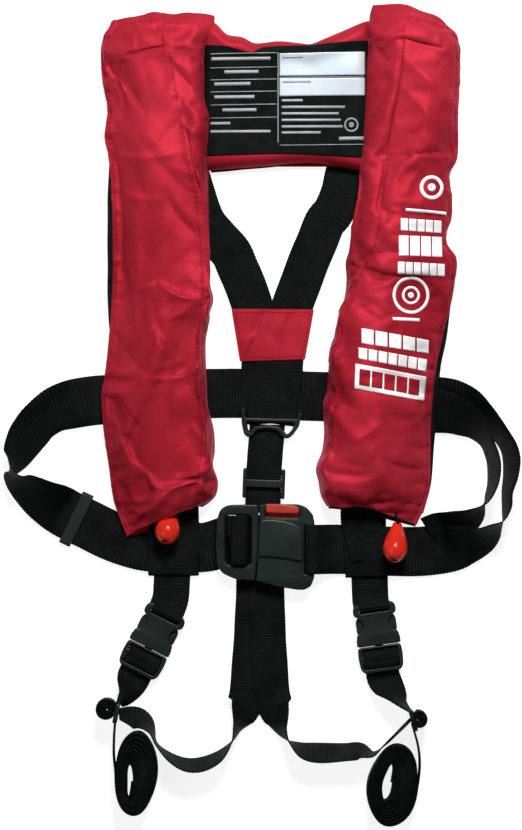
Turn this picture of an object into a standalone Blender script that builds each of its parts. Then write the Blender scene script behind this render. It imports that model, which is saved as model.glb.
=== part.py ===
"""Inflatable life jacket, closed and laid flat on its back.

Two lobes and a collar hold a folded bladder under fabric covers. Webbing, buckles and
crotch straps hang from them. Lengths are millimetres: +X to the wearer's left, +Y towards
the collar, +Z up off the floor. The underside of the lowest webbing is at z = 0.
"""

from math import cos, pi, radians, sin

import bmesh
import bpy
from mathutils import Matrix, Vector

MM = 0.001

# Webbing, stacked in layers from the floor up.
WEB = 1.8
LAYER = 2.3
BELT_WIDTH = 50.0
STRAP_WIDTH = 37.0
SHOULDER_WIDTH = 42.0
KEEPER_AT = (-184.0, -104.0, 0.0)
KEEPER_ANGLE = -25.3

# Fabric.
PANEL = 1.2
PANEL_Z = 2 * LAYER
COVER = 1.2
COVER_Z = PANEL_Z + PANEL + 0.8
SEAM_Z = 40.0
CROWN = 4.0
SEAM_GAP = 0.6
COLLAR_TOP = 20.0

# Where each lobe's edges run: (y, x) from the hem up to the shoulder.
LEFT_INNER = [(-93, -62), (-78, -45), (-40, -48), (27, -54), (115, -48), (274, -54), (409, -54)]
LEFT_OUTER = [(-93, -142), (-52, -151), (27, -157), (109, -152), (334, -157), (409, -148)]
RIGHT_INNER = [(-93, 66), (-60, 57), (27, 67), (153, 85), (242, 101), (330, 105), (409, 111)]
RIGHT_OUTER = [(-93, 162), (-30, 172), (60, 183), (154, 194), (257, 195), (350, 199), (409, 174)]
# Straight seam each front cover folds back along: (y, x) at its two ends.
LEFT_SEAM = [(-93, -69), (409, -86)]
RIGHT_SEAM = [(-93, 75), (409, 139)]
HEM_Y = -88.0
SHOULDER_Y = 407.0

# Main buckle.
BUCKLE_Z = 6.9
SPLIT_X = -1.0
SOCKET_X = 54.5
PLUG_X = -44.5
PLUG_THICK = 9.0
SOCKET_THICK = 15.0
TONGUE_LENGTH = 25.0
WRAP_LENGTH = 48.0

# Pulls and inflators. The levers swing round an upright pin just below each inflator.
PULL_Z = 19.5
INFLATOR_Z = 27.0
INFLATOR_HALF = 13.0
INFLATOR_TOP = -8.0
INFLATOR_FOOT = -48.0
LEVER_PIN_Y = -52.4
TUBE_Z = 21.8

# Side-release buckles, drawn along their own +Y from the mouth back to the strap bar.
SIDE_WIDTH = 42.0
SIDE_SOCKET = 42.0
SIDE_PLUG = 26.0
SIDE_THICK = 11.0
SIDE_Z = 0.4


def clear_scene():
    for obj in list(bpy.data.objects):
        bpy.data.objects.remove(obj, do_unlink=True)


def material(name, colour, roughness):
    made = bpy.data.materials.new(name)
    made.use_nodes = True
    shader = made.node_tree.nodes["Principled BSDF"]
    shader.inputs["Base Color"].default_value = (*colour, 1.0)
    shader.inputs["Roughness"].default_value = roughness
    return made


def between(stations, y):
    """The x that a list of (y, x) stations gives at this y, by straight lines."""
    for (y0, x0), (y1, x1) in zip(stations, stations[1:]):
        if y <= y1:
            break
    return x0 + (x1 - x0) * (y - y0) / (y1 - y0)


def add(obj, surface):
    obj.data.materials.append(surface)
    bpy.data.collections["inflatable_life_jacket"].objects.link(obj)
    return obj


def mesh_object(name, points, faces, surface):
    mesh = bpy.data.meshes.new(name)
    mesh.from_pydata([Vector(p) * MM for p in points], [], faces)
    mesh.validate()
    return add(bpy.data.objects.new(name, mesh), surface)


def grid(rows, columns):
    """Quads that join rows of points, each row the same length."""
    return [
        (r * columns + c, r * columns + c + 1, (r + 1) * columns + c + 1, (r + 1) * columns + c)
        for r in range(rows - 1)
        for c in range(columns - 1)
    ]


def solidify(obj, thickness):
    thick = obj.modifiers.new("thickness", "SOLIDIFY")
    thick.thickness = thickness * MM
    thick.offset = 0.0
    thick.use_even_offset = True
    return obj


def bevel(obj, width, segments=1):
    weld = obj.modifiers.new("weld", "WELD")
    weld.merge_threshold = 1e-6
    rounded = obj.modifiers.new("bevel", "BEVEL")
    rounded.width = width * MM
    rounded.segments = segments
    rounded.limit_method = "ANGLE"
    return obj


def prism(name, outline, low, high, surface, holes=()):
    """A flat outline in X and Y, with holes, standing from z = low to z = high."""
    curve = bpy.data.curves.new(name, "CURVE")
    curve.dimensions = "2D"
    curve.fill_mode = "BOTH"
    curve.extrude = (high - low) / 2 * MM
    for loop in (outline, *holes):
        spline = curve.splines.new("POLY")
        spline.points.add(len(loop) - 1)
        spline.use_cyclic_u = True
        for point, (x, y) in zip(spline.points, loop):
            point.co = (x * MM, y * MM, 0.0, 1.0)
    obj = bpy.data.objects.new(name, curve)
    obj.location.z = (low + high) / 2 * MM
    return add(obj, surface)


def as_mesh(obj):
    """Turns a curve into a welded mesh with its faces out, so that a Boolean can use it."""
    bpy.context.view_layer.update()
    graph = bpy.context.evaluated_depsgraph_get()
    mesh = bpy.data.meshes.new_from_object(obj.evaluated_get(graph))
    mesh.transform(obj.matrix_world)
    shape = bmesh.new()
    shape.from_mesh(mesh)
    bmesh.ops.remove_doubles(shape, verts=shape.verts, dist=1e-6)
    bmesh.ops.recalc_face_normals(shape, faces=shape.faces)
    shape.to_mesh(mesh)
    shape.free()
    name = obj.name
    bpy.data.objects.remove(obj, do_unlink=True)
    made = bpy.data.objects.new(name, mesh)
    bpy.data.collections["inflatable_life_jacket"].objects.link(made)
    return made


def move(obj, place, angle):
    """Turns an object about Z and moves it, with the hidden tools that shape it."""
    shift = Matrix.Translation(Vector(place) * MM) @ Matrix.Rotation(radians(angle), 4, "Z")
    tools = [step.object for step in obj.modifiers if step.type == "BOOLEAN"]
    bpy.context.view_layer.update()
    for piece in (obj, *tools):
        piece.matrix_world = shift @ piece.matrix_world


def combine(obj, tool, operation):
    """Cuts the tool out of the object, or joins it on, and keeps the tool as a hidden helper."""
    step = obj.modifiers.new(operation.lower(), "BOOLEAN")
    step.operation = operation
    step.solver = "EXACT"
    step.object = tool
    tool.hide_render = True
    tool.display_type = "WIRE"
    bpy.data.collections["inflatable_life_jacket"].objects.unlink(tool)
    bpy.data.collections["helpers"].objects.link(tool)
    return obj


def box(name, low, high, surface):
    (x0, y0, z0), (x1, y1, z1) = low, high
    points = [(x, y, z) for z in (z0, z1) for x, y in ((x0, y0), (x1, y0), (x1, y1), (x0, y1))]
    sides = [(i, (i + 1) % 4, (i + 1) % 4 + 4, i + 4) for i in range(4)]
    return mesh_object(name, points, [(3, 2, 1, 0), (4, 5, 6, 7), *sides], surface)


def rounded(x0, y0, x1, y1, radius, steps=4):
    """Outline of a rectangle with round corners."""
    centres = [(x1 - radius, y1 - radius, 0), (x0 + radius, y1 - radius, 90)]
    centres += [(x0 + radius, y0 + radius, 180), (x1 - radius, y0 + radius, 270)]
    return [
        (cx + radius * cos(radians(a + 90 * i / steps)), cy + radius * sin(radians(a + 90 * i / steps)))
        for cx, cy, a in centres
        for i in range(steps + 1)
    ]


def webbing(name, path, width, surface, side=1):
    """A strap along (x, y, z, roll) points. Roll 0 lies flat, 90 stands on edge, 180 is turned over."""
    curve = bpy.data.curves.new(name, "CURVE")
    curve.dimensions = "3D"
    curve.twist_mode = "Z_UP"
    curve.bevel_depth = WEB / 2 * MM
    curve.bevel_resolution = 0
    curve.extrude = (width - WEB) / 2 * MM
    curve.use_fill_caps = True
    spline = curve.splines.new("POLY")
    spline.points.add(len(path) - 1)
    for point, (x, y, z, roll) in zip(spline.points, path):
        point.co = (x * MM, y * MM, z * MM, 1.0)
        point.tilt = side * radians(90 - roll)
    return add(bpy.data.objects.new(name, curve), surface)


def layer_z(layer):
    """Height of the middle of a strap in this layer."""
    return layer * LAYER + WEB / 2


def rolled(x, y, roll, base, width=BELT_WIDTH):
    """A path point whose strap rolls on its lower edge, that edge's underside at the base height."""
    return (x, y, base + WEB / 2 + (width - WEB) / 2 * sin(radians(roll)), roll)


def flat(layer, *points):
    return [(x, y, layer_z(layer), 0) for x, y in points]


def rod(name, path, radius, surface, resolution=2):
    curve = bpy.data.curves.new(name, "CURVE")
    curve.dimensions = "3D"
    curve.bevel_depth = radius * MM
    curve.bevel_resolution = resolution
    curve.use_fill_caps = True
    spline = curve.splines.new("POLY")
    spline.points.add(len(path) - 1)
    for point, (x, y, z) in zip(spline.points, path):
        point.co = (x * MM, y * MM, z * MM, 1.0)
    return add(bpy.data.objects.new(name, curve), surface)


def turned(name, profile, surface, steps=20):
    """A profile of (radius, height) points turned round Z, from the top down its outer side."""
    mesh = bpy.data.meshes.new(name)
    points = [(r * MM, 0.0, h * MM) for r, h in profile]
    mesh.from_pydata(points, [(i, i + 1) for i in range(len(points) - 1)], [])
    obj = add(bpy.data.objects.new(name, mesh), surface)
    screw = obj.modifiers.new("turn", "SCREW")
    screw.steps = steps
    screw.render_steps = steps
    screw.use_merge_vertices = True
    screw.merge_threshold = 1e-5
    return obj


def lobe_height(y):
    """Seam height along a lobe: low at the open hem and at the shoulder fold, level between."""
    from_hem = min(1.0, (y - HEM_Y) / 50.0)
    from_shoulder = min(1.0, (SHOULDER_Y - y) / 45.0)
    rise = min(sin(pi / 2 * from_hem) * 0.55 + 0.45, sin(pi / 2 * from_shoulder) * 0.6 + 0.4)
    return COVER_Z + (SEAM_Z - COVER_Z) * rise


def lobe_stations(count):
    return [HEM_Y + (SHOULDER_Y - HEM_Y) * i / (count - 1) for i in range(count)]


def inner_gusset(name, inner, seam, surface):
    """The narrow inner wall of a lobe, from the back panel up to the seam."""
    stations, steps = lobe_stations(19), 5
    points = []
    for y in stations:
        edge, top_x, top_z = between(inner, y), between(seam, y), lobe_height(y)
        side = 1 if edge > top_x else -1
        top_x += side * SEAM_GAP
        for i in range(steps):
            angle = pi / 2 * i / (steps - 1)
            x = edge + (top_x - edge) * (1 - cos(angle))
            points.append((x, y, COVER_Z + (top_z - COVER_Z) * sin(angle)))
    return solidify(mesh_object(name, points, grid(len(stations), steps), surface), COVER)


def front_cover(name, outer, seam, surface):
    """The wide front panel of a lobe, from the seam over to the closure at the outer edge."""
    stations, steps = lobe_stations(19), 10
    points = []
    for y in stations:
        edge, top_x, top_z = between(outer, y), between(seam, y), lobe_height(y)
        side = 1 if edge > top_x else -1
        top_x += side * SEAM_GAP
        for i in range(steps):
            across = sin(pi / 2 * i / (steps - 1))
            fall = max(0.0, 1 - across**3.5) ** 0.6
            z = COVER_Z + (top_z - COVER_Z) * fall + CROWN * sin(pi * across)
            points.append((top_x + (edge - top_x) * across, y, z))
    return solidify(mesh_object(name, points, grid(len(stations), steps), surface), COVER)


def pad(name, edges, inset, heights, ends_y, surface, pleats=0):
    """A soft pad between two edges, flat below and rounded above, with lengthwise pleats."""
    rows, columns = 12, 4 * max(pleats, 1) + 5
    (left, right), (low, high), (bottom_y, top_y) = edges, heights, ends_y
    points = []
    for r in range(rows):
        along = r / (rows - 1)
        y = bottom_y + (top_y - bottom_y) * along
        end = max(0.0, 1 - abs(2 * along - 1) ** 8)
        x0, x1 = between(left, y) + inset, between(right, y) - inset
        for c in range(columns):
            across = c / (columns - 1)
            round_off = max(0.0, 1 - abs(2 * across - 1) ** 6) * end
            ripple = 0.12 * cos(2 * pi * pleats * across) if pleats else 0.0
            z = low + 1.5 + (high - low - 1.5) * (round_off**0.5) * (0.88 + ripple)
            points.append((x0 + (x1 - x0) * across, y, z))
    count = rows * columns
    points += [(x, y, low) for x, y, z in points]
    top = grid(rows, columns)
    under = [tuple(i + count for i in reversed(face)) for face in top]
    rim = [r * columns for r in range(rows - 1, 0, -1)]
    rim += list(range(columns - 1))
    rim += [r * columns + columns - 1 for r in range(rows - 1)]
    rim += [(rows - 1) * columns + c for c in range(columns - 1, 0, -1)]
    sides = [
        (rim[i], rim[i] + count, rim[(i + 1) % len(rim)] + count, rim[(i + 1) % len(rim)])
        for i in range(len(rim))
    ]
    return mesh_object(name, points, top + under + sides, surface)


def panel_outline(left, right, bottom_y, top_y, inset):
    """Outline between two edges, listed up the left side and down the right."""
    stations = [bottom_y + (top_y - bottom_y) * i / 9 for i in range(10)]
    up = [(between(left, y) + inset, y) for y in stations]
    down = [(between(right, y) - inset, y) for y in reversed(stations)]
    return up + down


def back_panels(red):
    low, high = PANEL_Z, PANEL_Z + PANEL
    lobe = (HEM_Y, SHOULDER_Y - 1)
    prism("left_back_panel", panel_outline(LEFT_OUTER, LEFT_INNER, *lobe, 1), low, high, red)
    prism("right_back_panel", panel_outline(RIGHT_INNER, RIGHT_OUTER, *lobe, 1), low, high, red)
    collar = panel_outline(LEFT_INNER, RIGHT_INNER, 246, 371, 1.5)
    prism("collar_back_panel", collar, low, high, red)


def lobe_covers(red):
    inner_gusset("left_inner_gusset", LEFT_INNER, LEFT_SEAM, red)
    inner_gusset("right_inner_gusset", RIGHT_INNER, RIGHT_SEAM, red)
    front_cover("left_front_cover", LEFT_OUTER, LEFT_SEAM, red)
    front_cover("right_front_cover", RIGHT_OUTER, RIGHT_SEAM, red)


def collar(red, black):
    """Domed collar cover between the lobes, with the label sewn on its flat top."""
    rows, columns = 13, 17
    bottom_y, top_y, side_gap = 245.0, 378.0, 2.0
    points = []
    for r in range(rows):
        along = r / (rows - 1)
        y = bottom_y + (top_y - bottom_y) * (1 - cos(pi * along)) / 2
        x0 = between(LEFT_INNER, y) + side_gap
        x1 = between(RIGHT_INNER, y) - side_gap
        for c in range(columns):
            across = (1 - cos(pi * c / (columns - 1))) / 2
            ends = max(0.0, 1 - abs(2 * (y - bottom_y) / (top_y - bottom_y) - 1) ** 8)
            sides = max(0.0, 1 - abs(2 * across - 1) ** 12)
            z = COVER_Z + (COLLAR_TOP - COVER_Z) * (ends * sides) ** 0.5
            points.append((x0 + (x1 - x0) * across, y, z))
    solidify(mesh_object("collar_cover", points, grid(rows, columns), red), COVER)
    low = COLLAR_TOP + COVER / 2 + 0.4
    prism("neck_label", rounded(-45, 258, 95, 364, 2), low, low + 0.6, black)


def bladders(yellow):
    low = PANEL_Z + PANEL + 0.4
    lobe = ((low, 17.0), (-62, 362), yellow)
    pad("left_bladder", (LEFT_OUTER, LEFT_INNER), 9, *lobe, pleats=3)
    pad("right_bladder", (RIGHT_INNER, RIGHT_OUTER), 9, *lobe, pleats=3)
    pad("collar_bladder", (LEFT_INNER, RIGHT_INNER), 10, (low, COLLAR_TOP - 4), (256, 364), yellow)


def inflator(side, x, hard, steel, red):
    """Inflator head, its gas cylinder, and the lever that a pull cord swings down."""
    half = INFLATOR_HALF
    low, high = INFLATOR_Z - 8, INFLATOR_Z + 8
    corners = ((x - half, INFLATOR_FOOT, low), (x + half, INFLATOR_TOP, high))
    bevel(box(f"{side}_inflator", *corners, hard), 2.5, 2)
    bottle = [(0, 92), (6, 91), (9.5, 86), (9.5, 12), (5, 3), (5, 0), (0, 0)]
    cylinder = turned(f"{side}_gas_cylinder", bottle, steel)
    cylinder.rotation_euler.x = -pi / 2
    cylinder.location = Vector((x, INFLATOR_TOP + 0.5, INFLATOR_Z)) * MM
    lever = prism(f"{side}_inflator_lever", rounded(-3.5, -3.5, 21, 3.5, 3.4), -2, 2, red)
    lever.location = Vector((x, LEVER_PIN_Y, INFLATOR_Z)) * MM


def oral_tube(side, x, black):
    path = [(x, 40, TUBE_Z), (x, 100, TUBE_Z), (x + 4, 135, TUBE_Z), (x, 170, TUBE_Z)]
    rod(f"{side}_oral_tube", path, 4.5, black)


def toggle(side, mouth, direction, red):
    """Teardrop pull with a hole in its round end, its thin end at the mouth of the cord."""
    profile = [(0, 0), (3.4, 0), (4.3, -1.5), (5.5, -9), (9.5, -17), (12, -24), (12.2, -28)]
    profile += [(10.5, -34), (6.5, -37.5), (3, -38), (3, -31), (0, -31)]
    scale = 0.93 if side == "left" else 1.0
    pull = turned(f"{side}_toggle", [(r, h * scale) for r, h in profile], red)
    along = Vector((*direction, 0.0)).normalized()
    pull.rotation_euler = along.to_track_quat("-Z", "Y").to_euler()
    pull.location = Vector((*mouth, PULL_Z)) * MM


def pull_cord(side, mouth, lever_tip, black):
    start = (mouth[0], mouth[1] + 1.2, PULL_Z)
    below_hem = (mouth[0] * 0.97, HEM_Y - 5, PULL_Z - 5)
    path = [start, below_hem, (*lever_tip, INFLATOR_Z - 4.5)]
    rod(f"{side}_pull_cord", path, 1.3, black, resolution=1)


def shoulder_straps(black):
    left = flat(0, (-72, 243), (-61, 208), (-31, 162), (-13, 118), (-9.4, 96))
    right = flat(0, (88, 243), (81, 220), (64, 190), (47, 148), (37.5, 118), (34.5, 96))
    webbing("left_shoulder_strap", left, SHOULDER_WIDTH, black)
    webbing("right_shoulder_strap", right, SHOULDER_WIDTH, black)


def back_patch(red):
    outline = [(-20.5, 53.5), (44.5, 56), (53.5, 105), (-29, 106)]
    prism("back_patch", outline, LAYER, LAYER + PANEL, red)


def waist_belt(black):
    """Back run under the lobes, a loop on edge at each side, and front runs to the buckle."""
    back = flat(0, (-148.4, 20), (-130, 20.2), (0, 21), (170, 12))
    webbing("waist_belt_back", back, BELT_WIDTH, black)
    left = [rolled(-149.2, 20, 0, 0), rolled(-160, 19.8, 0, 0), rolled(-182, 12, 12, 0)]
    left += [rolled(-206, 4, 20, 0)]
    left += [rolled(-232, -9, 45, 0), rolled(-248, -27, 70, 0), rolled(-255, -42, 90, 1)]
    left += [rolled(-249, -56, 110, 1.4), rolled(-235, -74, 135, 2), rolled(-217, -88, 160, LAYER)]
    for x, y in ((-203, -95), (-150, -120), (-122, -131), (-96, -133.5), (-47, -133.5)):
        left.append(rolled(x, y, 180, LAYER))
    webbing("waist_belt_left", left, BELT_WIDTH, black)
    right = [rolled(171, 12, 0, 0), rolled(182, 11, 0, 0), rolled(199, 4, 15, 0)]
    right += [rolled(217, -9, 40, 0)]
    right += [rolled(239, -28, 62, 0), rolled(256, -46, 90, 1), rolled(252, -75, 90, 1.4)]
    right += [rolled(247, -100, 90, 2), rolled(232, -116, 125, LAYER), rolled(208, -128, 155, LAYER)]
    for x, y in ((180, -134), (120, -136), (44, -134)):
        right.append(rolled(x, y, 180, LAYER))
    webbing("waist_belt_right", right, BELT_WIDTH, black, side=-1)
    inner = [(206, -28, 27.5, 90), (222, -36, 27.5, 90), (232, -55, 27.5, 90), (229, -80, 27.5, 90)]
    inner += [(214, -96, 27.5, 90)]
    webbing("waist_belt_adjust_loop", inner, BELT_WIDTH, black, side=-1)


def lay_across(obj, place, angle):
    """Stands a prism drawn in its section, so that it runs along X, then moves it into place."""
    obj.rotation_euler = (pi / 2, 0, pi / 2)
    move(obj, place, angle)


def belt_keeper(black):
    """Elastic band round the left front belt. It slides along the straight run of the belt."""
    wall, clear, half = 1.4, 0.5, BELT_WIDTH / 2 + 0.8
    low, high = LAYER - clear, LAYER + WEB + clear
    outside = rounded(-half - wall, low - wall, half + wall, high + wall, 1.2, 2)
    inside = rounded(-half, low, half, high, 0.4, 1)
    band = prism("belt_keeper", outside, -5.5, 5.5, black, [inside])
    lay_across(band, KEEPER_AT, KEEPER_ANGLE)


def belt_loop(name, x0, x1, top_y, fold_y, black):
    """Webbing folded round the front belt: front layer, fold below the belt, back layer."""
    low, high, inside = 0.0, 2 * LAYER + WEB, 2 * LAYER - 0.2
    outline = [(top_y, inside), (fold_y + WEB, inside), (fold_y + WEB, WEB), (-76, WEB), (-76, low)]
    outline += [(fold_y + 1.2, low), (fold_y, 1.2), (fold_y, high - 1.2), (fold_y + 1.2, high)]
    outline.append((top_y, high))
    half = (x1 - x0) / 2
    lay_across(prism(name, outline, -half, half, black), (x0 + half, 0, 0), 0)


def delta_ring(hard):
    """Ring with a bar above for the back strap and an arched bar below for the crotch strap."""
    outline = [(-19.5, 6), (-15.5, 6), (-14.8, -3.2), (37.2, -4.2), (37.2, 2), (41, 2), (38.5, -11)]
    outline += [(31, -21), (27, -24), (22.5, -22.5), (15.5, -14.8), (6.5, -13.6), (-3, -14.6)]
    outline += [(-7.5, -20.5), (-12, -22.5), (-16, -20), (-18.5, -10)]
    slot = [(-12.5, -7), (33, -8), (31, -14), (26.5, -18.8), (18, -11.4), (6.5, -10.2)]
    slot += [(-5.5, -11.2), (-10, -17)]
    prism("delta_ring", outline, LAYER, LAYER + 4, hard, [slot])


def upper_crotch_strap(black):
    path = flat(0, (7, -9), (6, -22)) + flat(1, (5, -38), (2, -98))
    webbing("upper_crotch_strap", path, STRAP_WIDTH - 3, black)


def crotch_adjuster(hard):
    """Ladder-lock round the upper crotch strap: three bars in front and one behind."""
    frame = as_mesh(prism("crotch_adjuster", rounded(-21, -15, 21, 15, 4), 0.2, 7.8, hard))
    channel = box("adjuster_channel", (-18, -16, LAYER - 0.4), (18, 16, LAYER + WEB + 0.4), hard)
    combine(frame, channel, "DIFFERENCE")
    for name, y0, y1 in (("upper_window", 4, 11.5), ("lower_window", -11.5, -4)):
        combine(frame, box(f"adjuster_{name}", (-16.5, y0, 3), (16.5, y1, 9), hard), "DIFFERENCE")
    for name, y0, y1 in (("upper_gap", 3, 16), ("lower_gap", -16, -3)):
        combine(frame, box(f"adjuster_{name}", (-16.5, y0, 0), (16.5, y1, 3), hard), "DIFFERENCE")
    move(frame, (3.4, -68.5, 0), -2)


def crotch_straps(black):
    """Two straps sewn side by side, then each turning on edge round a leg to its slider."""
    width = STRAP_WIDTH
    left = flat(0, (-5.8, -102), (-6.2, -170), (-12.4, -278))
    left += [rolled(-18, -310, 25, 0, width), rolled(-27, -334, 68, 0, width)]
    left += [rolled(-42, -347, 50, 0, width), rolled(-62, -351, 40, 0, width)]
    left += [rolled(-84, -343, 65, 0, width), rolled(-96, -330, 85, 0, width)]
    left += [rolled(-103, -315, 78, 0, width), rolled(-110, -305, 75, 0, width)]
    webbing("left_crotch_strap", left, width, black)
    right = flat(1, (4.8, -102), (5.6, -170), (10.6, -278))
    right += [rolled(18, -308, 25, LAYER, width), rolled(31, -330, 68, 1, width)]
    right += [rolled(52, -339, 50, 0, width), rolled(78, -337, 45, 0, width)]
    right += [rolled(99, -332, 65, 0, width), rolled(110, -330, 88, 0, width)]
    right.append(rolled(117, -327, 90, 0, width))
    webbing("right_crotch_strap", right, width, black, side=-1)


def leg_strap_ends(black):
    """The short runs from each side buckle's plug down to its slider, starting to turn on edge."""
    width = STRAP_WIDTH - 5
    left = [rolled(-124.9, -258.8, 0, 0, width), rolled(-131, -270, 5, 0, width)]
    left += [rolled(-137, -281, 14, 0, width)]
    webbing("left_leg_strap_end", left, width, black)
    right = [rolled(122.7, -259, 0, 0, width), rolled(127, -272, 5, 0, width)]
    right += [rolled(134, -286, 14, 0, width)]
    webbing("right_leg_strap_end", right, width, black)


def side_socket(name, hard):
    """Female half: waisted shell, open at the mouth, with a window for each prong."""
    half = SIDE_WIDTH / 2
    outline = [(-half, 0.4), (half, 0.4), (half, 8), (half - 5, 13), (half - 6, 21), (half - 4, 28)]
    outline += [(half, 31), (half, 38), (half - 3, SIDE_SOCKET), (-half + 3, SIDE_SOCKET), (-half, 38)]
    outline += [(-half, 31), (-half + 4, 28), (-half + 6, 21), (-half + 5, 13), (-half, 8)]
    shell = as_mesh(prism(name, outline, 0, SIDE_THICK, hard))
    low, high = 2.0, SIDE_THICK - 2.0
    mouth = box(f"{name}_mouth", (-half + 2, -5, low), (half - 2, 29, high), hard)
    combine(shell, mouth, "DIFFERENCE")
    slot = box(f"{name}_slot", (-half + 5, 32, -1), (half - 5, 36.5, SIDE_THICK + 1), hard)
    return combine(shell, slot, "DIFFERENCE")


def side_plug(name, hard):
    """Male half: ladder frame below the mouth and a guide tongue inside it."""
    half = SIDE_WIDTH / 2
    outline = rounded(-half, -SIDE_PLUG, half, 0, 4)
    windows = [
        rounded(-half + 4, -SIDE_PLUG + 4, half - 4, -SIDE_PLUG + 10.5, 1.5, 2),
        rounded(-half + 4, -SIDE_PLUG + 14, half - 4, -5, 1.5, 2),
    ]
    ladder = as_mesh(prism(name, outline, 1.5, SIDE_THICK - 1.5, hard, windows))
    tongue = box(f"{name}_tongue", (-4, -2, 3.5), (4, 22, SIDE_THICK - 3.5), hard)
    return combine(ladder, tongue, "UNION")


def prong(name, side, hard):
    """Sprung arm whose barb stands in the socket's side window."""
    arm = [(8, 0.6), (13, 0.6), (15.4, 12), (18.2, 15.5), (17.5, 24), (13, 26.5), (9.5, 14)]
    outline = [(side * x, y) for x, y in arm]
    return prism(name, outline, 3.0, SIDE_THICK - 3.0, hard)


def side_buckle(side, place, angle, hard):
    pieces = [
        side_socket(f"{side}_side_buckle_socket", hard),
        side_plug(f"{side}_side_buckle_plug", hard),
        prong(f"{side}_side_buckle_prong_a", 1, hard),
        prong(f"{side}_side_buckle_prong_b", -1, hard),
    ]
    for piece in pieces:
        move(piece, (*place, SIDE_Z), angle)


def leg_slider(side, centre, angle, hard):
    """Tri-glide standing on edge where the leg strap turns back to the buckle."""
    outline = rounded(-11, -16, 11, 16, 5)
    windows = [rounded(-7.5, 2, 7.5, 12.5, 1.5, 2), rounded(-7.5, -12.5, 7.5, -2, 1.5, 2)]
    slider = prism(f"{side}_leg_slider", outline, -2.2, 2.2, hard, windows)
    slider.rotation_euler = (radians(90), 0, radians(angle))
    slider.location = Vector((*centre, STRAP_WIDTH / 2)) * MM


def rolled_tail(name, centre, angle, size, surface):
    """Rolled end of a leg strap standing on edge: an oval coil with a slot down its middle."""
    width, length = size
    outline = rounded(-width / 2, -length / 2, width / 2, length / 2, width / 2 - 0.5, 6)
    slot = rounded(-3.5, -length / 2 + 20, 3.5, length / 2 - 20, 3.4, 4)
    move(prism(name, outline, 0.0, STRAP_WIDTH, surface, [slot]), (*centre, 0), angle)


def main_socket(hard):
    """Female half of the main buckle, open towards the plug, with a pocket for the button."""
    top, bottom = -89.0, -174.5
    outline = [(SPLIT_X, top), (44, top), (54, -100), (SOCKET_X, -163), (43.5, bottom)]
    outline.append((SPLIT_X, -165))
    body = as_mesh(prism("main_buckle_socket", outline, BUCKLE_Z, BUCKLE_Z + SOCKET_THICK, hard))
    middle = BUCKLE_Z + PLUG_THICK / 2 + 1
    cuts = [
        box("socket_mouth", (-10, -150, middle - 3), (30, -110, middle + 3), hard),
        box("socket_button_pocket", (4.5, -106, BUCKLE_Z + 4), (39.2, -80, 40), hard),
        box("socket_web_slot", (42, -158, 0), (46.5, -98, 40), hard),
    ]
    for tool in cuts:
        combine(body, tool, "DIFFERENCE")


def main_plug(hard, black):
    """Male half: slotted frame with the webbing bar, and the tongue inside the socket."""
    middle = BUCKLE_Z + PLUG_THICK / 2 + 1
    low, high = middle - PLUG_THICK / 2, middle + PLUG_THICK / 2
    outline = [(PLUG_X + 5, -91), (SPLIT_X - 0.5, -89.5), (SPLIT_X - 0.5, -165), (-26, -164)]
    outline += [(PLUG_X + 3, -153), (PLUG_X, -147), (PLUG_X, -98)]
    windows = [rounded(-39, -152, -24.5, -97, 3, 2), rounded(-17.5, -151, -9.5, -98.5, 1.2, 1)]
    frame = as_mesh(prism("main_buckle_plug", outline, low, high, hard, windows))
    corners = ((SPLIT_X - 6, -147.5, middle - 2.4), (TONGUE_LENGTH, -111.5, middle + 2.4))
    combine(frame, box("plug_tongue", *corners, hard), "UNION")
    outside = rounded(-31.5, middle - 7, -10.8, middle + 7, 5, 3)
    inside = rounded(-25, low - 0.5, -17, high + 0.5, 0.4, 1)
    half = WRAP_LENGTH / 2
    wrap = prism("plug_webbing_wrap", outside, -half, half, black, [inside])
    wrap.rotation_euler.x = pi / 2
    wrap.location = (0, -124.5 * MM, 0)


def release_button(red):
    low, high = BUCKLE_Z + 4.4, BUCKLE_Z + SOCKET_THICK - 1
    bevel(box("release_button", (5.2, -101.5, low), (38.5, -88.4, high), red), 1.5, 2)


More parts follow.
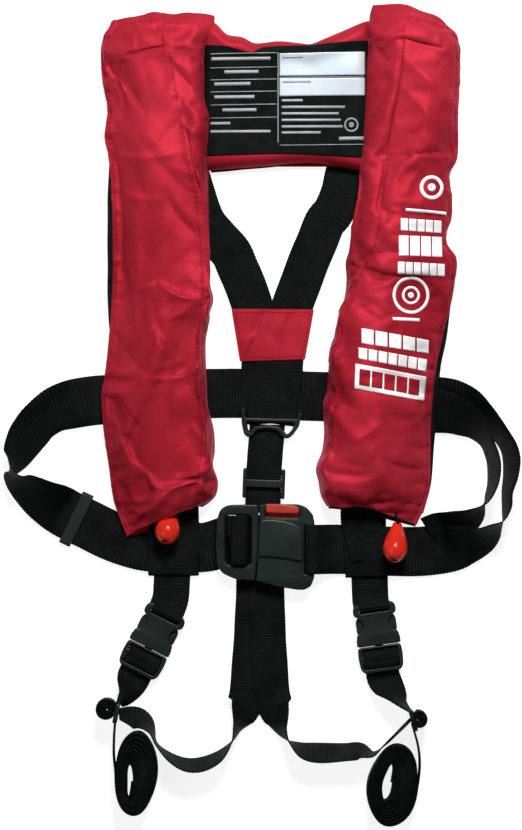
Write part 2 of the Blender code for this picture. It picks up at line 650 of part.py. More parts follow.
def build():
    clear_scene()
    scene = bpy.context.scene.collection
    scene.children.link(bpy.data.collections.new("inflatable_life_jacket"))
    helpers = bpy.data.collections.new("helpers")
    scene.children.link(helpers)
    red = material("red_nylon", (0.45, 0.02, 0.04), 0.5)
    black = material("black_webbing", (0.012, 0.015, 0.015), 0.85)
    label = material("label_cloth", (0.02, 0.022, 0.025), 0.5)
    hard = material("buckle_plastic", (0.025, 0.03, 0.03), 0.4)
    orange = material("toggle_plastic", (0.8, 0.06, 0.03), 0.25)
    yellow = material("bladder_yellow", (0.85, 0.55, 0.02), 0.45)
    steel = material("cylinder_steel", (0.35, 0.36, 0.37), 0.3)

    back_panels(red)
    lobe_covers(red)
    collar(red, label)
    bladders(yellow)
    for side, x, mouth, direction in (
        ("left", -100.0, (-87.8, -97.5), (-0.2, -1.0)),
        ("right", 118.0, (137.2, -109.0), (-0.1, -1.0)),
    ):
        inflator(side, x, hard, steel, orange)
        toggle(side, mouth, direction, orange)
        pull_cord(side, mouth, (x + 12, -60), black)
        oral_tube(side, x - 18, black)
    shoulder_straps(black)
    back_patch(red)
    webbing("centre_back_strap", flat(1, (17, 50.6), (11.2, -1.2)), BELT_WIDTH - 4, black)
    waist_belt(black)
    belt_keeper(black)
    belt_loop("left_belt_loop", -112.5, -61.5, -97.5, -161.5, black)
    belt_loop("right_belt_loop", 84.5, 125.5, -104, -163, black)
    webbing("left_drop_strap", flat(0, (-88, -163), (-89, -183), (-93, -193)), STRAP_WIDTH, black)
    webbing("right_drop_strap", flat(0, (109, -164.5), (110, -187)), STRAP_WIDTH, black)
    delta_ring(hard)
    upper_crotch_strap(black)
    crotch_adjuster(hard)
    crotch_straps(black)
    leg_strap_ends(black)
    main_socket(hard)
    main_plug(hard, black)
    release_button(orange)
    side_buckle("left", (-112, -233), -27, hard)
    side_buckle("right", (118.5, -230), 8, hard)
    leg_slider("left", (-143.5, -296), 80, hard)
    leg_slider("right", (152, -304), 105, hard)
    rolled_tail("left_strap_tail", (-123.5, -356), -3, (43, 84), black)
    rolled_tail("right_strap_tail", (132, -368), -10, (48, 82), black)


build()
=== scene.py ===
from math import cos, pi, radians, sin

import bmesh
import bpy
import numpy as np
from mathutils import Matrix, Vector, noise
from mathutils.bvhtree import BVHTree


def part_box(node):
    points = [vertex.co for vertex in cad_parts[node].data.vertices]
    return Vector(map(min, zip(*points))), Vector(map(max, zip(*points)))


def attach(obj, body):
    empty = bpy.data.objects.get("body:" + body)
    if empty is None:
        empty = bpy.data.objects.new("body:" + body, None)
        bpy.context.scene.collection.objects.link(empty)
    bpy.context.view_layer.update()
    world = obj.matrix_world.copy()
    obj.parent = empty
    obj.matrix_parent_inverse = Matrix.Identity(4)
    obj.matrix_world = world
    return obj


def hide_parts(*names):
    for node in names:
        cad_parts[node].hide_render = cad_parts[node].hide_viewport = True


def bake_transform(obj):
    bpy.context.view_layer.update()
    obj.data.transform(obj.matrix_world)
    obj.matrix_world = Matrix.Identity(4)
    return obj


# Sizes are in millimetres, and MM turns them into Blender's metres.
MM = 0.001
WEB = 1.8
ON_FLOOR = WEB / 2
RIB_PITCH = 3.0
BELT_WIDTH = 50.0
STRAP_WIDTH = 37.0
SHOULDER_WIDTH = 42.0
SIDE_BUCKLE_HALF = 21.0
CLOTH_THICKNESS = 0.8
INK_LIFT = 0.22
LABEL_INK_LIFT = 0.3
PANEL_INK_LIFT = 0.65

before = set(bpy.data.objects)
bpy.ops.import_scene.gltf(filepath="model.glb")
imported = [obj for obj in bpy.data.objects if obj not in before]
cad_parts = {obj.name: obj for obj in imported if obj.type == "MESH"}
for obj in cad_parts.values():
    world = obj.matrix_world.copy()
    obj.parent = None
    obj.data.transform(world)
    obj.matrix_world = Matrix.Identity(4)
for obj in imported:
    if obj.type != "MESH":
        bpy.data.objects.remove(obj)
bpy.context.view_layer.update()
scene = bpy.context.scene


# ---------------------------------------------------------------- camera, light and floor

def add_camera():
    """Looks straight down on the jacket from far enough to keep its edges upright."""
    height = 5.0
    camera = bpy.data.cameras.new("camera")
    camera.sensor_width = 36.0
    camera.lens = 36.0 * height / 0.830
    camera.clip_end = 20.0
    obj = bpy.data.objects.new("camera", camera)
    obj.location = (0.0005, 0.0, height)
    scene.collection.objects.link(obj)
    scene.camera = obj


def add_area_light(name, place, size, power):
    light = bpy.data.lights.new(name, "AREA")
    light.shape = "DISK"
    light.size = size
    light.energy = power
    obj = bpy.data.objects.new(name, light)
    obj.location = place
    obj.rotation_euler = Vector(place).to_track_quat("Z", "Y").to_euler()
    scene.collection.objects.link(obj)


def add_surroundings():
    """White floor, a world that is darker overhead than at the sides, and two soft lamps."""
    mesh = bpy.data.meshes.new("floor")
    far = 4.0
    corners = [(-far, -far, 0), (far, -far, 0), (far, far, 0), (-far, far, 0)]
    mesh.from_pydata(corners, [], [(0, 1, 2, 3)])
    floor = bpy.data.objects.new("floor", mesh)
    floor.location.z = -0.0004
    scene.collection.objects.link(floor)
    white = new_material("floor_white", (0.3, 0.3, 0.3), 0.9)
    shader = white.node_tree.nodes["Principled BSDF"]
    shader.inputs["Specular IOR Level"].default_value = 0.0
    shader.inputs["Emission Color"].default_value = (1.0, 1.0, 1.0, 1.0)
    shader.inputs["Emission Strength"].default_value = 0.86
    mesh.materials.append(white)
    world = bpy.data.worlds.new("studio")
    world.use_nodes = True
    tree = world.node_tree
    sky = node(tree, "ShaderNodeSeparateXYZ")
    direction = tree.nodes.new("ShaderNodeTexCoord").outputs["Generated"]
    tree.links.new(direction, sky.inputs["Vector"])
    level = node(tree, "ShaderNodeMapRange", From_Min=0.1, From_Max=1.0, To_Min=0.72, To_Max=0.44)
    tree.links.new(sky.outputs["Z"], level.inputs["Value"])
    tree.links.new(level.outputs["Result"], tree.nodes["Background"].inputs["Strength"])
    scene.world = world
    add_area_light("key", (0.25, 1.6, 2.1), 0.8, 104.0)
    add_area_light("fill", (-1.6, -0.8, 1.9), 1.8, 14.0)
    scene.view_settings.view_transform = "Standard"


# ---------------------------------------------------------------- materials

def new_material(name, colour, roughness):
    made = bpy.data.materials.new(name)
    made.use_nodes = True
    shader = made.node_tree.nodes["Principled BSDF"]
    shader.inputs["Base Color"].default_value = (*colour, 1.0)
    shader.inputs["Roughness"].default_value = roughness
    return made


def node(tree, kind, **sockets):
    """Adds a node and sets its sockets by name, where a space in the name is an underscore."""
    made = tree.nodes.new(kind)
    for name, value in sockets.items():
        made.inputs[name.replace("_", " ")].default_value = value
    return made


def vary_colour(tree, coordinates, scale, dark, light):
    """Base colour that drifts between two tones with a soft noise."""
    drift = node(tree, "ShaderNodeTexNoise", Scale=scale, Detail=4.0, Roughness=0.6)
    tree.links.new(coordinates, drift.inputs["Vector"])
    ramp = tree.nodes.new("ShaderNodeValToRGB")
    ramp.color_ramp.elements[0].position = 0.36
    ramp.color_ramp.elements[0].color = (*dark, 1.0)
    ramp.color_ramp.elements[1].position = 0.64
    ramp.color_ramp.elements[1].color = (*light, 1.0)
    tree.links.new(drift.outputs["Fac"], ramp.inputs["Fac"])
    tree.links.new(ramp.outputs["Color"], tree.nodes["Principled BSDF"].inputs["Base Color"])
    return ramp


def vary_roughness(tree, coordinates, scale, low, high):
    grain = node(tree, "ShaderNodeTexNoise", Scale=scale, Detail=3.0)
    span = node(tree, "ShaderNodeMapRange", To_Min=low, To_Max=high)
    tree.links.new(coordinates, grain.inputs["Vector"])
    tree.links.new(grain.outputs["Fac"], span.inputs["Value"])
    tree.links.new(span.outputs["Result"], tree.nodes["Principled BSDF"].inputs["Roughness"])


def bump(tree, height, strength, distance):
    raised = node(tree, "ShaderNodeBump", Strength=strength, Distance=distance)
    tree.links.new(height, raised.inputs["Height"])
    tree.links.new(raised.outputs["Normal"], tree.nodes["Principled BSDF"].inputs["Normal"])


def object_coordinates(tree):
    return tree.nodes.new("ShaderNodeTexCoord").outputs["Object"]


def woven_height(tree, coordinates, threads):
    """Plain weave: fine bands both ways, added together."""
    total = None
    for direction in ("X", "Y"):
        band = node(tree, "ShaderNodeTexWave", Scale=threads, Distortion=0.6, Detail=1.0)
        band.bands_direction = direction
        tree.links.new(coordinates, band.inputs["Vector"])
        if total is None:
            total = band.outputs["Fac"]
            continue
        mix = tree.nodes.new("ShaderNodeMath")
        mix.operation = "ADD"
        tree.links.new(total, mix.inputs[0])
        tree.links.new(band.outputs["Fac"], mix.inputs[1])
        total = mix.outputs[0]
    return total


def nylon(name, dark, light, sheen_tint):
    """Coated nylon cover cloth: satin, with a soft pink-white sheen along its folds."""
    made = new_material(name, light, 0.45)
    tree = made.node_tree
    shader = tree.nodes["Principled BSDF"]
    shader.inputs["Metallic"].default_value = 0.22
    shader.inputs["Specular IOR Level"].default_value = 0.03
    shader.inputs["Specular Tint"].default_value = (*sheen_tint, 1.0)
    shader.inputs["Sheen Weight"].default_value = 0.16
    shader.inputs["Sheen Roughness"].default_value = 0.3
    shader.inputs["Sheen Tint"].default_value = (*sheen_tint, 1.0)
    place = object_coordinates(tree)
    vary_colour(tree, place, 9.0, dark, light)
    vary_roughness(tree, place, 30.0, 0.4, 0.56)
    bump(tree, woven_height(tree, place, 420.0), 0.3, 0.00015)
    return made


def webbing_material(name, ribbed=True):
    """Black polyester webbing: matt, with painted shade in the grooves between its weft ribs and painted
    light on the rib crests.
    """
    made = new_material(name, (0.006, 0.008, 0.008), 0.75)
    tree = made.node_tree
    shader = tree.nodes["Principled BSDF"]
    shader.inputs["Specular IOR Level"].default_value = 0.05
    place = object_coordinates(tree)
    dark, light = (0.0016, 0.0030, 0.0024), (0.0044, 0.0066, 0.0056)
    ramp = vary_colour(tree, place, 45.0, dark, light)
    vary_roughness(tree, place, 120.0, 0.55, 0.8)
    bump(tree, woven_height(tree, place, 300.0), 0.4, 0.0003)
    if ribbed:
        # A wave texture of scale 1 repeats every 2 pi / 20 units.
        rib_scale = 2 * pi / (20 * RIB_PITCH * MM)
        ribs = node(tree, "ShaderNodeTexWave", Scale=rib_scale, Phase_Offset=-pi / 2)
        ribs.bands_direction = "Y"
        tree.links.new(tree.nodes.new("ShaderNodeUVMap").outputs["UV"], ribs.inputs["Vector"])
        # Painted shade and light: the rib wave darkens the base colour to a quarter in the grooves and
        # lightens it to one and a half times on the crests.
        shade = node(tree, "ShaderNodeMapRange", To_Min=0.25, To_Max=1.5)
        tree.links.new(ribs.outputs["Fac"], shade.inputs["Value"])
        mix = tree.nodes.new("ShaderNodeVectorMath")
        mix.operation = "SCALE"
        tree.links.new(ramp.outputs["Color"], mix.inputs["Vector"])
        tree.links.new(shade.outputs["Result"], mix.inputs["Scale"])
        tree.links.new(mix.outputs["Vector"], shader.inputs["Base Color"])
    return made


def moulded_plastic(name, colour, roughness):
    """Satin moulded plastic with the fine grain of its mould and faint scuffs."""
    made = new_material(name, colour, roughness)
    tree = made.node_tree
    tree.nodes["Principled BSDF"].inputs["Specular IOR Level"].default_value = 0.18
    place = object_coordinates(tree)
    dark, light = (tuple(share * c for c in colour) for share in (0.8, 1.2))
    vary_colour(tree, place, 25.0, dark, light)
    vary_roughness(tree, place, 60.0, roughness - 0.06, roughness + 0.1)
    grain = node(tree, "ShaderNodeTexNoise", Scale=1800.0, Detail=2.0)
    tree.links.new(place, grain.inputs["Vector"])
    bump(tree, grain.outputs["Fac"], 0.15, 0.0001)
    return made


def steel(name):
    made = new_material(name, (0.42, 0.43, 0.44), 0.3)
    tree = made.node_tree
    tree.nodes["Principled BSDF"].inputs["Metallic"].default_value = 1.0
    vary_roughness(tree, object_coordinates(tree), 200.0, 0.22, 0.42)
    return made


def make_materials():
    pink, cream, white = (1.0, 0.22, 0.4), (1.0, 0.9, 0.6), (1.0, 1.0, 1.0)
    return {
        "red": nylon("red_nylon", (0.245, 0.0095, 0.018), (0.36, 0.018, 0.033), pink),
        "thread": nylon("red_thread", (0.07, 0.003, 0.006), (0.11, 0.004, 0.008), pink),
        "yellow": nylon("yellow_coated_cloth", (0.72, 0.42, 0.015), (0.86, 0.56, 0.03), cream),
        "web": webbing_material("black_webbing"),
        "hook": webbing_material("hook_and_loop", ribbed=False),
        "label": webbing_material("label_cloth", ribbed=False),
        "ink": nylon("white_ink", (0.86, 0.86, 0.86), (0.93, 0.93, 0.93), white),
        "pale": nylon("pale_panel_cloth", (0.44, 0.49, 0.54), (0.52, 0.57, 0.61), white),
        "grey_ink": nylon("grey_ink", (0.22, 0.23, 0.24), (0.36, 0.37, 0.38), white),
        "plastic": moulded_plastic("buckle_plastic", (0.0075, 0.0125, 0.011), 0.36),
        "orange": moulded_plastic("toggle_plastic", (0.48, 0.018, 0.010), 0.22),
        "button": moulded_plastic("button_plastic", (0.30, 0.026, 0.018), 0.38),
        "rubber": moulded_plastic("tube_rubber", (0.008, 0.010, 0.009), 0.6),
        "steel": steel("cylinder_steel"),
    }


# ---------------------------------------------------------------- mesh helpers

def mesh_object(name, points, faces, surface, smooth=True):
    mesh = bpy.data.meshes.new(name)
    mesh.from_pydata([Vector(p) * MM for p in points], [], faces)
    mesh.materials.append(surface)
    if smooth:
        mesh.shade_smooth()
    obj = bpy.data.objects.new(name, mesh)
    scene.collection.objects.link(obj)
    return obj


def grid_faces(rows, columns, wrap=False):
    """Quads of a grid whose points are listed row by row; wrap closes each row into a ring."""
    faces = []
    for r in range(rows - 1):
        for c in range(columns if wrap else columns - 1):
            a, b = r * columns + c, r * columns + (c + 1) % columns
            faces.append((a, b, b + columns, a + columns))
    return faces


def grid_points(rows, columns, at):
    """Points at(s, t) row by row, where s runs along a row and t from row to row, both 0 to 1."""
    return [at(c / (columns - 1), r / (rows - 1)) for r in range(rows) for c in range(columns)]


def in_quad(corners, s, t):
    """Point of a four-cornered shape, a share s along its first side and t across it."""
    a, b, c, d = (np.array(p, float) for p in corners)
    return (a * (1 - s) + b * s) * (1 - t) + (d * (1 - s) + c * s) * t


def curve_through(points, step):
    """Smooth Catmull-Rom curve through the points, sampled about every step along x, y and z."""
    points = np.array(points, float)
    ends = np.vstack([2 * points[0] - points[1], points, 2 * points[-1] - points[-2]])
    samples = []
    for a, b, c, d in zip(ends, ends[1:], ends[2:], ends[3:]):
        count = max(2, int(np.linalg.norm(c[:3] - b[:3]) / step))
        for t in np.arange(count) / count:
            square, cube = 2 * a - 5 * b + 4 * c - d, 3 * b - a - 3 * c + d
            samples.append(0.5 * (2 * b + (c - a) * t + square * t**2 + cube * t**3))
    samples.append(points[-1])
    return np.array(samples)


def frames_along(path, flip):
    """For each point, the strap's width direction and face normal, from its roll in degrees."""
    tangents = np.gradient(path[:, :3], axis=0)
    tangents /= np.linalg.norm(tangents, axis=1)[:, None]
    previous = None
    for tangent, roll in zip(tangents, np.radians(path[:, 3])):
        level = np.array([tangent[1], -tangent[0], 0.0])
        size = np.linalg.norm(level)
        level = level / size if size > 0.15 or previous is None else previous
        if previous is not None and level @ previous < 0:
            level = -level
        previous = level
        up = np.cross(level, tangent)
        up = up / np.linalg.norm(up)
        width = flip * level * cos(roll) + up * sin(roll)
        yield width, np.cross(tangent, width)


def strap(name, points, width, surface, flip=1, thick=WEB, ribs=True):
    """Webbing along (x, y, z, roll) points: ribbed across its length, thinner at its woven edges."""
    path = curve_through(points, RIB_PITCH / 4)
    across = np.array([-1, -0.95, -0.6, -0.2, 0.2, 0.6, 0.95, 1])
    body = np.array([0.25, 0.8, 1, 1, 1, 1, 0.8, 0.25])
    steps = np.linalg.norm(np.diff(path[:, :3], axis=0), axis=1)
    travelled = np.concatenate([[0], np.cumsum(steps)])
    vertices, uvs = [], []
    frames = frames_along(path, flip)
    for place, (side, normal), along in zip(path[:, :3], frames, travelled):
        groove = (1 + cos(2 * pi * along / RIB_PITCH)) / 2 if ribs else 0.0
        half = (thick / 2 - 0.28 * groove) * body
        wander = 0.25 * sin(along / 23.0) + 0.15 * sin(along / 7.3)
        line = place + np.outer(across * (width / 2 - 0.1 - 0.35 * groove) + wander, side)
        vertices += list(line + np.outer(half, normal))
        vertices += list((line - np.outer(half, normal))[::-1])
        uvs += [(a * width / 2 * MM, along * MM) for a in (*across, *across[::-1])]
    count = 2 * len(across)
    faces = grid_faces(len(path), count, wrap=True)
    faces.append(tuple(reversed(range(count))))
    faces.append(tuple(range(len(vertices) - count, len(vertices))))
    obj = mesh_object(name, vertices, faces, surface)
    layer = obj.data.uv_layers.new(name="along")
    for loop in obj.data.loops:
        layer.data[loop.index].uv = uvs[loop.vertex_index]
    return obj


def rolled(x, y, roll, base, width=BELT_WIDTH):
    """A strap point whose lower edge stays at the base height as the strap rolls up on edge."""
    return (x, y, base + WEB / 2 + (width - WEB) / 2 * sin(radians(roll)), roll)


def flat(z, *points):
    """Strap points that lie flat at one height."""
    return [(x, y, z, 0) for x, y in points]


def turned_over(*points):
    """Strap points that lie flat with the webbing's other face up."""
    return [(x, y, z, 180) for x, y, z in points]


def belt_on_edge(*points):
    """Waist belt points that stand on their lower edge, each (x, y, roll, base)."""
    return [rolled(*point) for point in points]


def strap_on_edge(*points):
    """The same for the narrower leg straps."""
    return [rolled(*point, STRAP_WIDTH) for point in points]


def rounded(x0, y0, x1, y1, radius, steps=5):
    """Outline of a rectangle with round corners."""
    centres = [(x1 - radius, y1 - radius, 0), (x0 + radius, y1 - radius, 90)]
    centres += [(x0 + radius, y0 + radius, 180), (x1 - radius, y0 + radius, 270)]
    outline = []
    for cx, cy, start in centres:
        for i in range(steps + 1):
            angle = radians(start + 90 * i / steps)
            outline.append((cx + radius * cos(angle), cy + radius * sin(angle)))
    return outline


def fillet(outline, radius, steps=3):
    """Rounds every corner of an outline."""
    corners = [Vector(p) for p in outline]
    befores, afters = corners[-1:] + corners[:-1], corners[1:] + corners[:1]
    result = []
    for before, corner, after in zip(befores, corners, afters):
        reach = min(radius, (before - corner).length * 0.45, (after - corner).length * 0.45)
        start = corner + (before - corner).normalized() * reach
        end = corner + (after - corner).normalized() * reach
        for i in range(steps + 1):
            t = i / steps
            result.append(tuple(start * (1 - t) ** 2 + corner * 2 * t * (1 - t) + end * t**2))
    return result


def moulding(name, outline, low, high, surface, edge, *holes):
    """A plastic plate from an outline with holes, its edges rounded over."""
    curve = bpy.data.curves.new(name, "CURVE")
    curve.dimensions = "2D"
    curve.fill_mode = "BOTH"
    curve.bevel_depth = edge * MM
    curve.bevel_resolution = 3
    curve.extrude = ((high - low) / 2 - edge) * MM
    curve.offset = -edge * MM
    for loop in (outline, *holes):
        spline = curve.splines.new("POLY")
        spline.points.add(len(loop) - 1)
        spline.use_cyclic_u = True
        for point, (x, y) in zip(spline.points, loop):
            point.co = (x * MM, y * MM, 0.0, 1.0)
    helper = bpy.data.objects.new(name + "_outline", curve)
    scene.collection.objects.link(helper)
    bpy.context.view_layer.update()
    graph = bpy.context.evaluated_depsgraph_get()
    mesh = bpy.data.meshes.new_from_object(helper.evaluated_get(graph))
    bpy.data.objects.remove(helper, do_unlink=True)
    mesh.transform(Matrix.Translation((0, 0, (low + high) / 2 * MM)))
    shape = bmesh.new()
    shape.from_mesh(mesh)
    bmesh.ops.remove_doubles(shape, verts=shape.verts, dist=1e-6)
    bmesh.ops.recalc_face_normals(shape, faces=shape.faces)
    shape.to_mesh(mesh)
    shape.free()
    mesh.materials.clear()
    mesh.materials.append(surface)
    mesh.shade_smooth()
    mesh.set_sharp_from_angle(angle=radians(40))
    obj = bpy.data.objects.new(name, mesh)
    scene.collection.objects.link(obj)
    return obj


def lathe(name, profile, surface, steps=40):
    """A (radius, height) profile turned round Z, from the top down its outer side."""
    angles = [2 * pi * i / steps for i in range(steps)]
    points = [(r * cos(a), r * sin(a), h) for r, h in profile for a in angles]
    faces = [face[::-1] for face in grid_faces(len(profile), steps, wrap=True)]
    obj = mesh_object(name, points, faces, surface)
    shape = bmesh.new()
    shape.from_mesh(obj.data)
    bmesh.ops.remove_doubles(shape, verts=shape.verts, dist=1e-6)
    bmesh.ops.recalc_face_normals(shape, faces=shape.faces)
    shape.to_mesh(obj.data)
    shape.free()
    obj.data.shade_smooth()
    obj.data.set_sharp_from_angle(angle=radians(50))
    return obj


def bake_place(obj, place, angle):
    """Turns a piece about Z and moves it, in its own vertices."""
    turn = Matrix.Rotation(radians(angle), 4, "Z")
    obj.data.transform(Matrix.Translation(Vector(place) * MM) @ turn)
    return obj


def join(pieces, name):
    """Makes one object of several, keeping the first one's place in the scene."""
    shape = bmesh.new()
    for piece in pieces:
        shape.from_mesh(piece.data)
    first, *others = pieces
    shape.to_mesh(first.data)
    shape.free()
    for other in others:
        bpy.data.objects.remove(other, do_unlink=True)
    first.name = name
    first.data.set_sharp_from_angle(angle=radians(40))
    return first


def between(stations, t):
    """Smooth value at t from a list of (t, value) stations in rising order."""
    ts = [s[0] for s in stations]
    values = [s[1] for s in stations]
    index = int(np.clip(np.searchsorted(ts, t) - 1, 0, len(ts) - 2))
    t0, t1 = ts[index], ts[index + 1]
    f = min(1.0, max(0.0, (t - t0) / (t1 - t0)))
    slope = [0.0, 0.0]
    for k, i in enumerate((index, index + 1)):
        a, b = max(i - 1, 0), min(i + 1, len(ts) - 1)
        slope[k] = (values[b] - values[a]) / (ts[b] - ts[a]) * (t1 - t0)
    h = f * f * (3 - 2 * f)
    return (
        values[index] * (1 - h)
        + values[index + 1] * h
        + slope[0] * f * (1 - f) ** 2
        - slope[1] * f**2 * (1 - f)
    )


# ---------------------------------------------------------------- what each piece rides on

def keep(obj, body, material_slot, *nodes):
    """Rides a finished piece on its body and stands it for its CAD nodes."""
    if nodes:
        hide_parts(*nodes)
    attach(obj, body)
    return obj


def bend(obj, body, start, end):
    """Bakes the cloth or webbing in place where it lies; body, start and end are not used, so it neither
    bends nor follows the body.
    """
    Vector(start) * MM
    Vector(end) * MM
    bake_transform(obj)


# ---------------------------------------------------------------- lobes and collar

# A lobe lies along Y. inner, outer and seam give x at a height y. hem and top give y at a share of
# the width. folds are creases (-) and ridges (+), each x0, y0, x1, y1, width, depth. top_seam is x, y.
LOBES = {
    "left": {
        "inner": [
            (-95, -64), (-87, -51), (-78, -44), (-65, -43), (-50, -48), (-37, -46), (-14, -47),
            (9, -53), (27, -53.8), (75, -55), (100, -51.7), (115, -47.3), (130, -50.5), (166, -51),
            (235, -52.5), (255, -50.5), (295, -50.5), (315, -53.5), (370, -53.5), (386, -47),
            (404, -46)],
        "outer": [
            (-121, -133), (-105, -139.5), (-84, -146.5), (-52, -151), (-14, -156.5), (20, -158.5),
            (37, -155.5), (75, -151.2), (109, -148.6), (150, -147.2), (200, -147.8), (252, -150.5),
            (280, -155), (305, -152.5), (334, -157.5), (362, -159), (377, -156.5), (389, -150)],
        "seam": [
            (-95, -68), (-15, -57), (45, -63.5), (132, -58), (207, -63), (277, -76), (334, -87),
            (400, -96)],
        "hem": [(0, -92), (0.16, -94), (0.37, -103.5), (0.58, -112), (0.79, -118), (1, -121.5)],
        "top": [
            (0, 398), (0.12, 400.5), (0.28, 402.5), (0.45, 398), (0.8, 394), (0.93, 390), (1, 379)],
        "folds": [
            (-126, 125, -104, 134, 5, -3.0), (-104, 134, -60, 115, 5, -4.0),
            (-96, 230, -56, 175, 9, 3.0), (-111, 37, -60, 48, 5, -3.0),
            (-86, -62, -44, -44, 5, -3.4), (-78, -70, -46, -57, 11, 4.5),
            (-54, -56, -56, -78, 4, -1.5), (-130, -85, -80, -68, 6, -3.0),
            (-112, -74, -70, -68, 8, 1.5), (-140, -105, -95, -77, 4, -2.5),
            (-134, -115, -110, -88, 4, 2.0), (-150, 263, -75, 265, 7, -2.2),
            (-140, 225, -95, 215, 8, -2.0), (-145, 85, -105, 118, 7, 2.5),
            (-110, 105, -85, 55, 8, -2.2), (-142, 20, -100, -25, 12, 2.4),
            (-95, 365, -55, 320, 8, 2.4), (-135, 355, -110, 295, 12, 1.8),
            (-70, -5, -48, -30, 6, -2.2), (-152, 375, -130, 390, 2.5, -1.8),
            (-130, 390, -97, 394, 2.5, -1.8)],
        "top_seam": [(-152, 375), (-143, 384), (-130, 390), (-97, 394)],
    },
    "right": {
        "inner": [
            (-91, 66.5), (-80, 60.5), (-67, 58.5), (-53, 55.5), (-37, 61.5), (-16, 64), (7, 62.5),
            (25, 66.5), (54, 69), (76, 73.5), (103, 79.5), (117, 84.2), (136, 86.3), (153, 85.3),
            (163, 88.5), (195, 92.5), (218, 97.5), (261, 102.3), (349, 106.5), (400, 109.5),
            (409, 112.5)],
        "outer": [
            (-108, 156), (-93, 163), (-72, 168.5), (-30, 169.5), (0, 170), (43, 174.5), (78, 181.5),
            (103, 188), (119, 191.5), (132, 193.5), (156, 195.5), (171, 186), (184, 186),
            (195, 190), (217, 191), (240, 188.5), (257, 196), (298, 197), (356, 199), (378, 196),
            (390, 186)],
        "seam": [
            (-91, 72), (-47, 66.5), (25, 75), (65, 77.5), (119, 90), (168, 113), (217, 121),
            (276, 128), (339, 139), (403, 143)],
        "hem": [
            (0, -91), (0.2, -91.5), (0.376, -93.5), (0.54, -100.5), (0.7, -105.3), (0.85, -108),
            (1, -109.3)],
        "top": [(0, 409), (0.15, 408.5), (0.35, 403.5), (0.65, 397), (0.9, 388), (1, 378)],
        "folds": [
            (86, 153, 101, 147, 5, -3.5), (101, 147, 180, 143, 6, -3.4),
            (140, 260, 195, 255, 9, -1.6), (121, -42, 168, -53, 8, -2.8),
            (73, -79, 140, -83, 5, -3.0), (70, 30, 110, 60, 13, 2.0), (135, 372, 180, 325, 11, 2.4),
            (112, 375, 130, 350, 6, -2.0), (130, 262, 165, 295, 9, -2.0),
            (95, 115, 120, 95, 8, -1.8), (85, -25, 120, -5, 11, 2.0), (100, -88, 150, -96, 4, -2.2),
            (144, 396, 165, 391, 2.5, -1.8), (165, 391, 189, 386, 2.5, -1.8)],
        "top_seam": [(144, 396), (165, 391.5), (176, 388), (189, 386)],
    },
}
LOBE_BASE = 7.0
LOBE_SEAM_Z = 39.5
DOME_SPREAD = 2.5
DOME_BLEND = 1.2
STITCH_INSET = 4.2


def ramp(value, low, high):
    """0 below the low value, 1 above the high one, and a smooth step between."""
    t = min(1.0, max(0.0, (value - low) / (high - low)))
    return t * t * (3 - 2 * t)


def lobe_rise(v, across):
    """Share of full height: the hem is stuffed round at its inner end and flat at its outer corner."""
    flatten = ramp(across, 0.3, 0.85)
    start, reach = 0.58 - 0.42 * flatten, 0.06 + 0.16 * flatten
    hem = sin(pi / 2 * min(1.0, v / reach)) * (1 - start) + start
    shoulder = sin(pi / 2 * min(1.0, (1 - v) / 0.07)) * 0.72 + 0.28
    return min(hem, shoulder)


def fold_height(folds, x, y):
    """Sum of the creases (-) and ridges (+) here, each a sharp line with one side tucked under."""
    total = 0.0
    for x0, y0, x1, y1, width, depth in folds:
        dx, dy = x1 - x0, y1 - y0
        length = (dx * dx + dy * dy) ** 0.5
        t = ((x - x0) * dx + (y - y0) * dy) / length**2
        if not 0 < t < 1:
            continue
        off = ((x - x0) * dy - (y - y0) * dx) / length - 0.1 * length * 4 * t * (1 - t)
        if abs(off) > 5 * width:
            continue
        fade = (1 - abs(2 * t - 1) ** 3) ** 1.5
        line = np.exp(-((off * off + 0.8) ** 0.5 - 0.9) / (0.45 * width))
        tuck = 0.45 * np.tanh(off / (0.4 * width)) * np.exp(-((off / (1.8 * width)) ** 2))
        total += depth * fade * (line + tuck)
    return total


def lobe_y(lobe, across, v):
    """Height along the lobe, a share v of the way from its hem to its top."""
    return between(lobe["hem"], across) * (1 - v) + between(lobe["top"], across) * v


def lobe_point(lobe, v, climb, on_front):
    """Point of the cover, a share climb of the way over its gusset or its front panel."""
    across = 0.16 + 0.84 * climb if on_front else 0.16 * climb
    y = lobe_y(lobe, across, v)
    inner, outer, seam = (between(lobe[key], y) for key in ("inner", "outer", "seam"))
    rise = lobe_rise(v, across)
    top = LOBE_BASE + (LOBE_SEAM_Z - LOBE_BASE) * rise
    if not on_front:
        angle = pi / 2 * climb
        x = inner + (seam - inner) * (1 - cos(angle))
        return (x, y, LOBE_BASE + (top - LOBE_BASE) * sin(angle))
    over = sin(pi / 2 * climb)
    fall = max(0.0, 1 - over**3.2) ** 0.62
    z = LOBE_BASE + (top - LOBE_BASE) * fall + 5.0 * rise * sin(pi * over)
    return (seam + (outer - seam) * over, y, z)


def lobe_cover(side, surface):
    """Gusset and front panel of a lobe as one cloth, from the inner edge over to the closure."""
    lobe = LOBES[side]
    rows, gusset, front = 150, 10, 34
    points = []
    for r in range(rows):
        v = r / (rows - 1)
        points += [lobe_point(lobe, v, c / gusset, False) for c in range(gusset)]
        points += [lobe_point(lobe, v, c / (front - 1), True) for c in range(front)]
    obj = mesh_object(f"{side}_lobe_cover", points, grid_faces(rows, gusset + front), surface)
    puff(obj, rows, gusset + front)
    smooth = obj.modifiers.new("smooth", "SUBSURF")
    smooth.levels = smooth.render_levels = 1
    apply_modifiers(obj)
    crumple(obj, lobe)
    shelter(obj, side)
    wall_in(obj)
    thick = obj.modifiers.new("thickness", "SOLIDIFY")
    thick.thickness = CLOTH_THICKNESS * MM
    thick.offset = 0.0
    return apply_modifiers(obj)


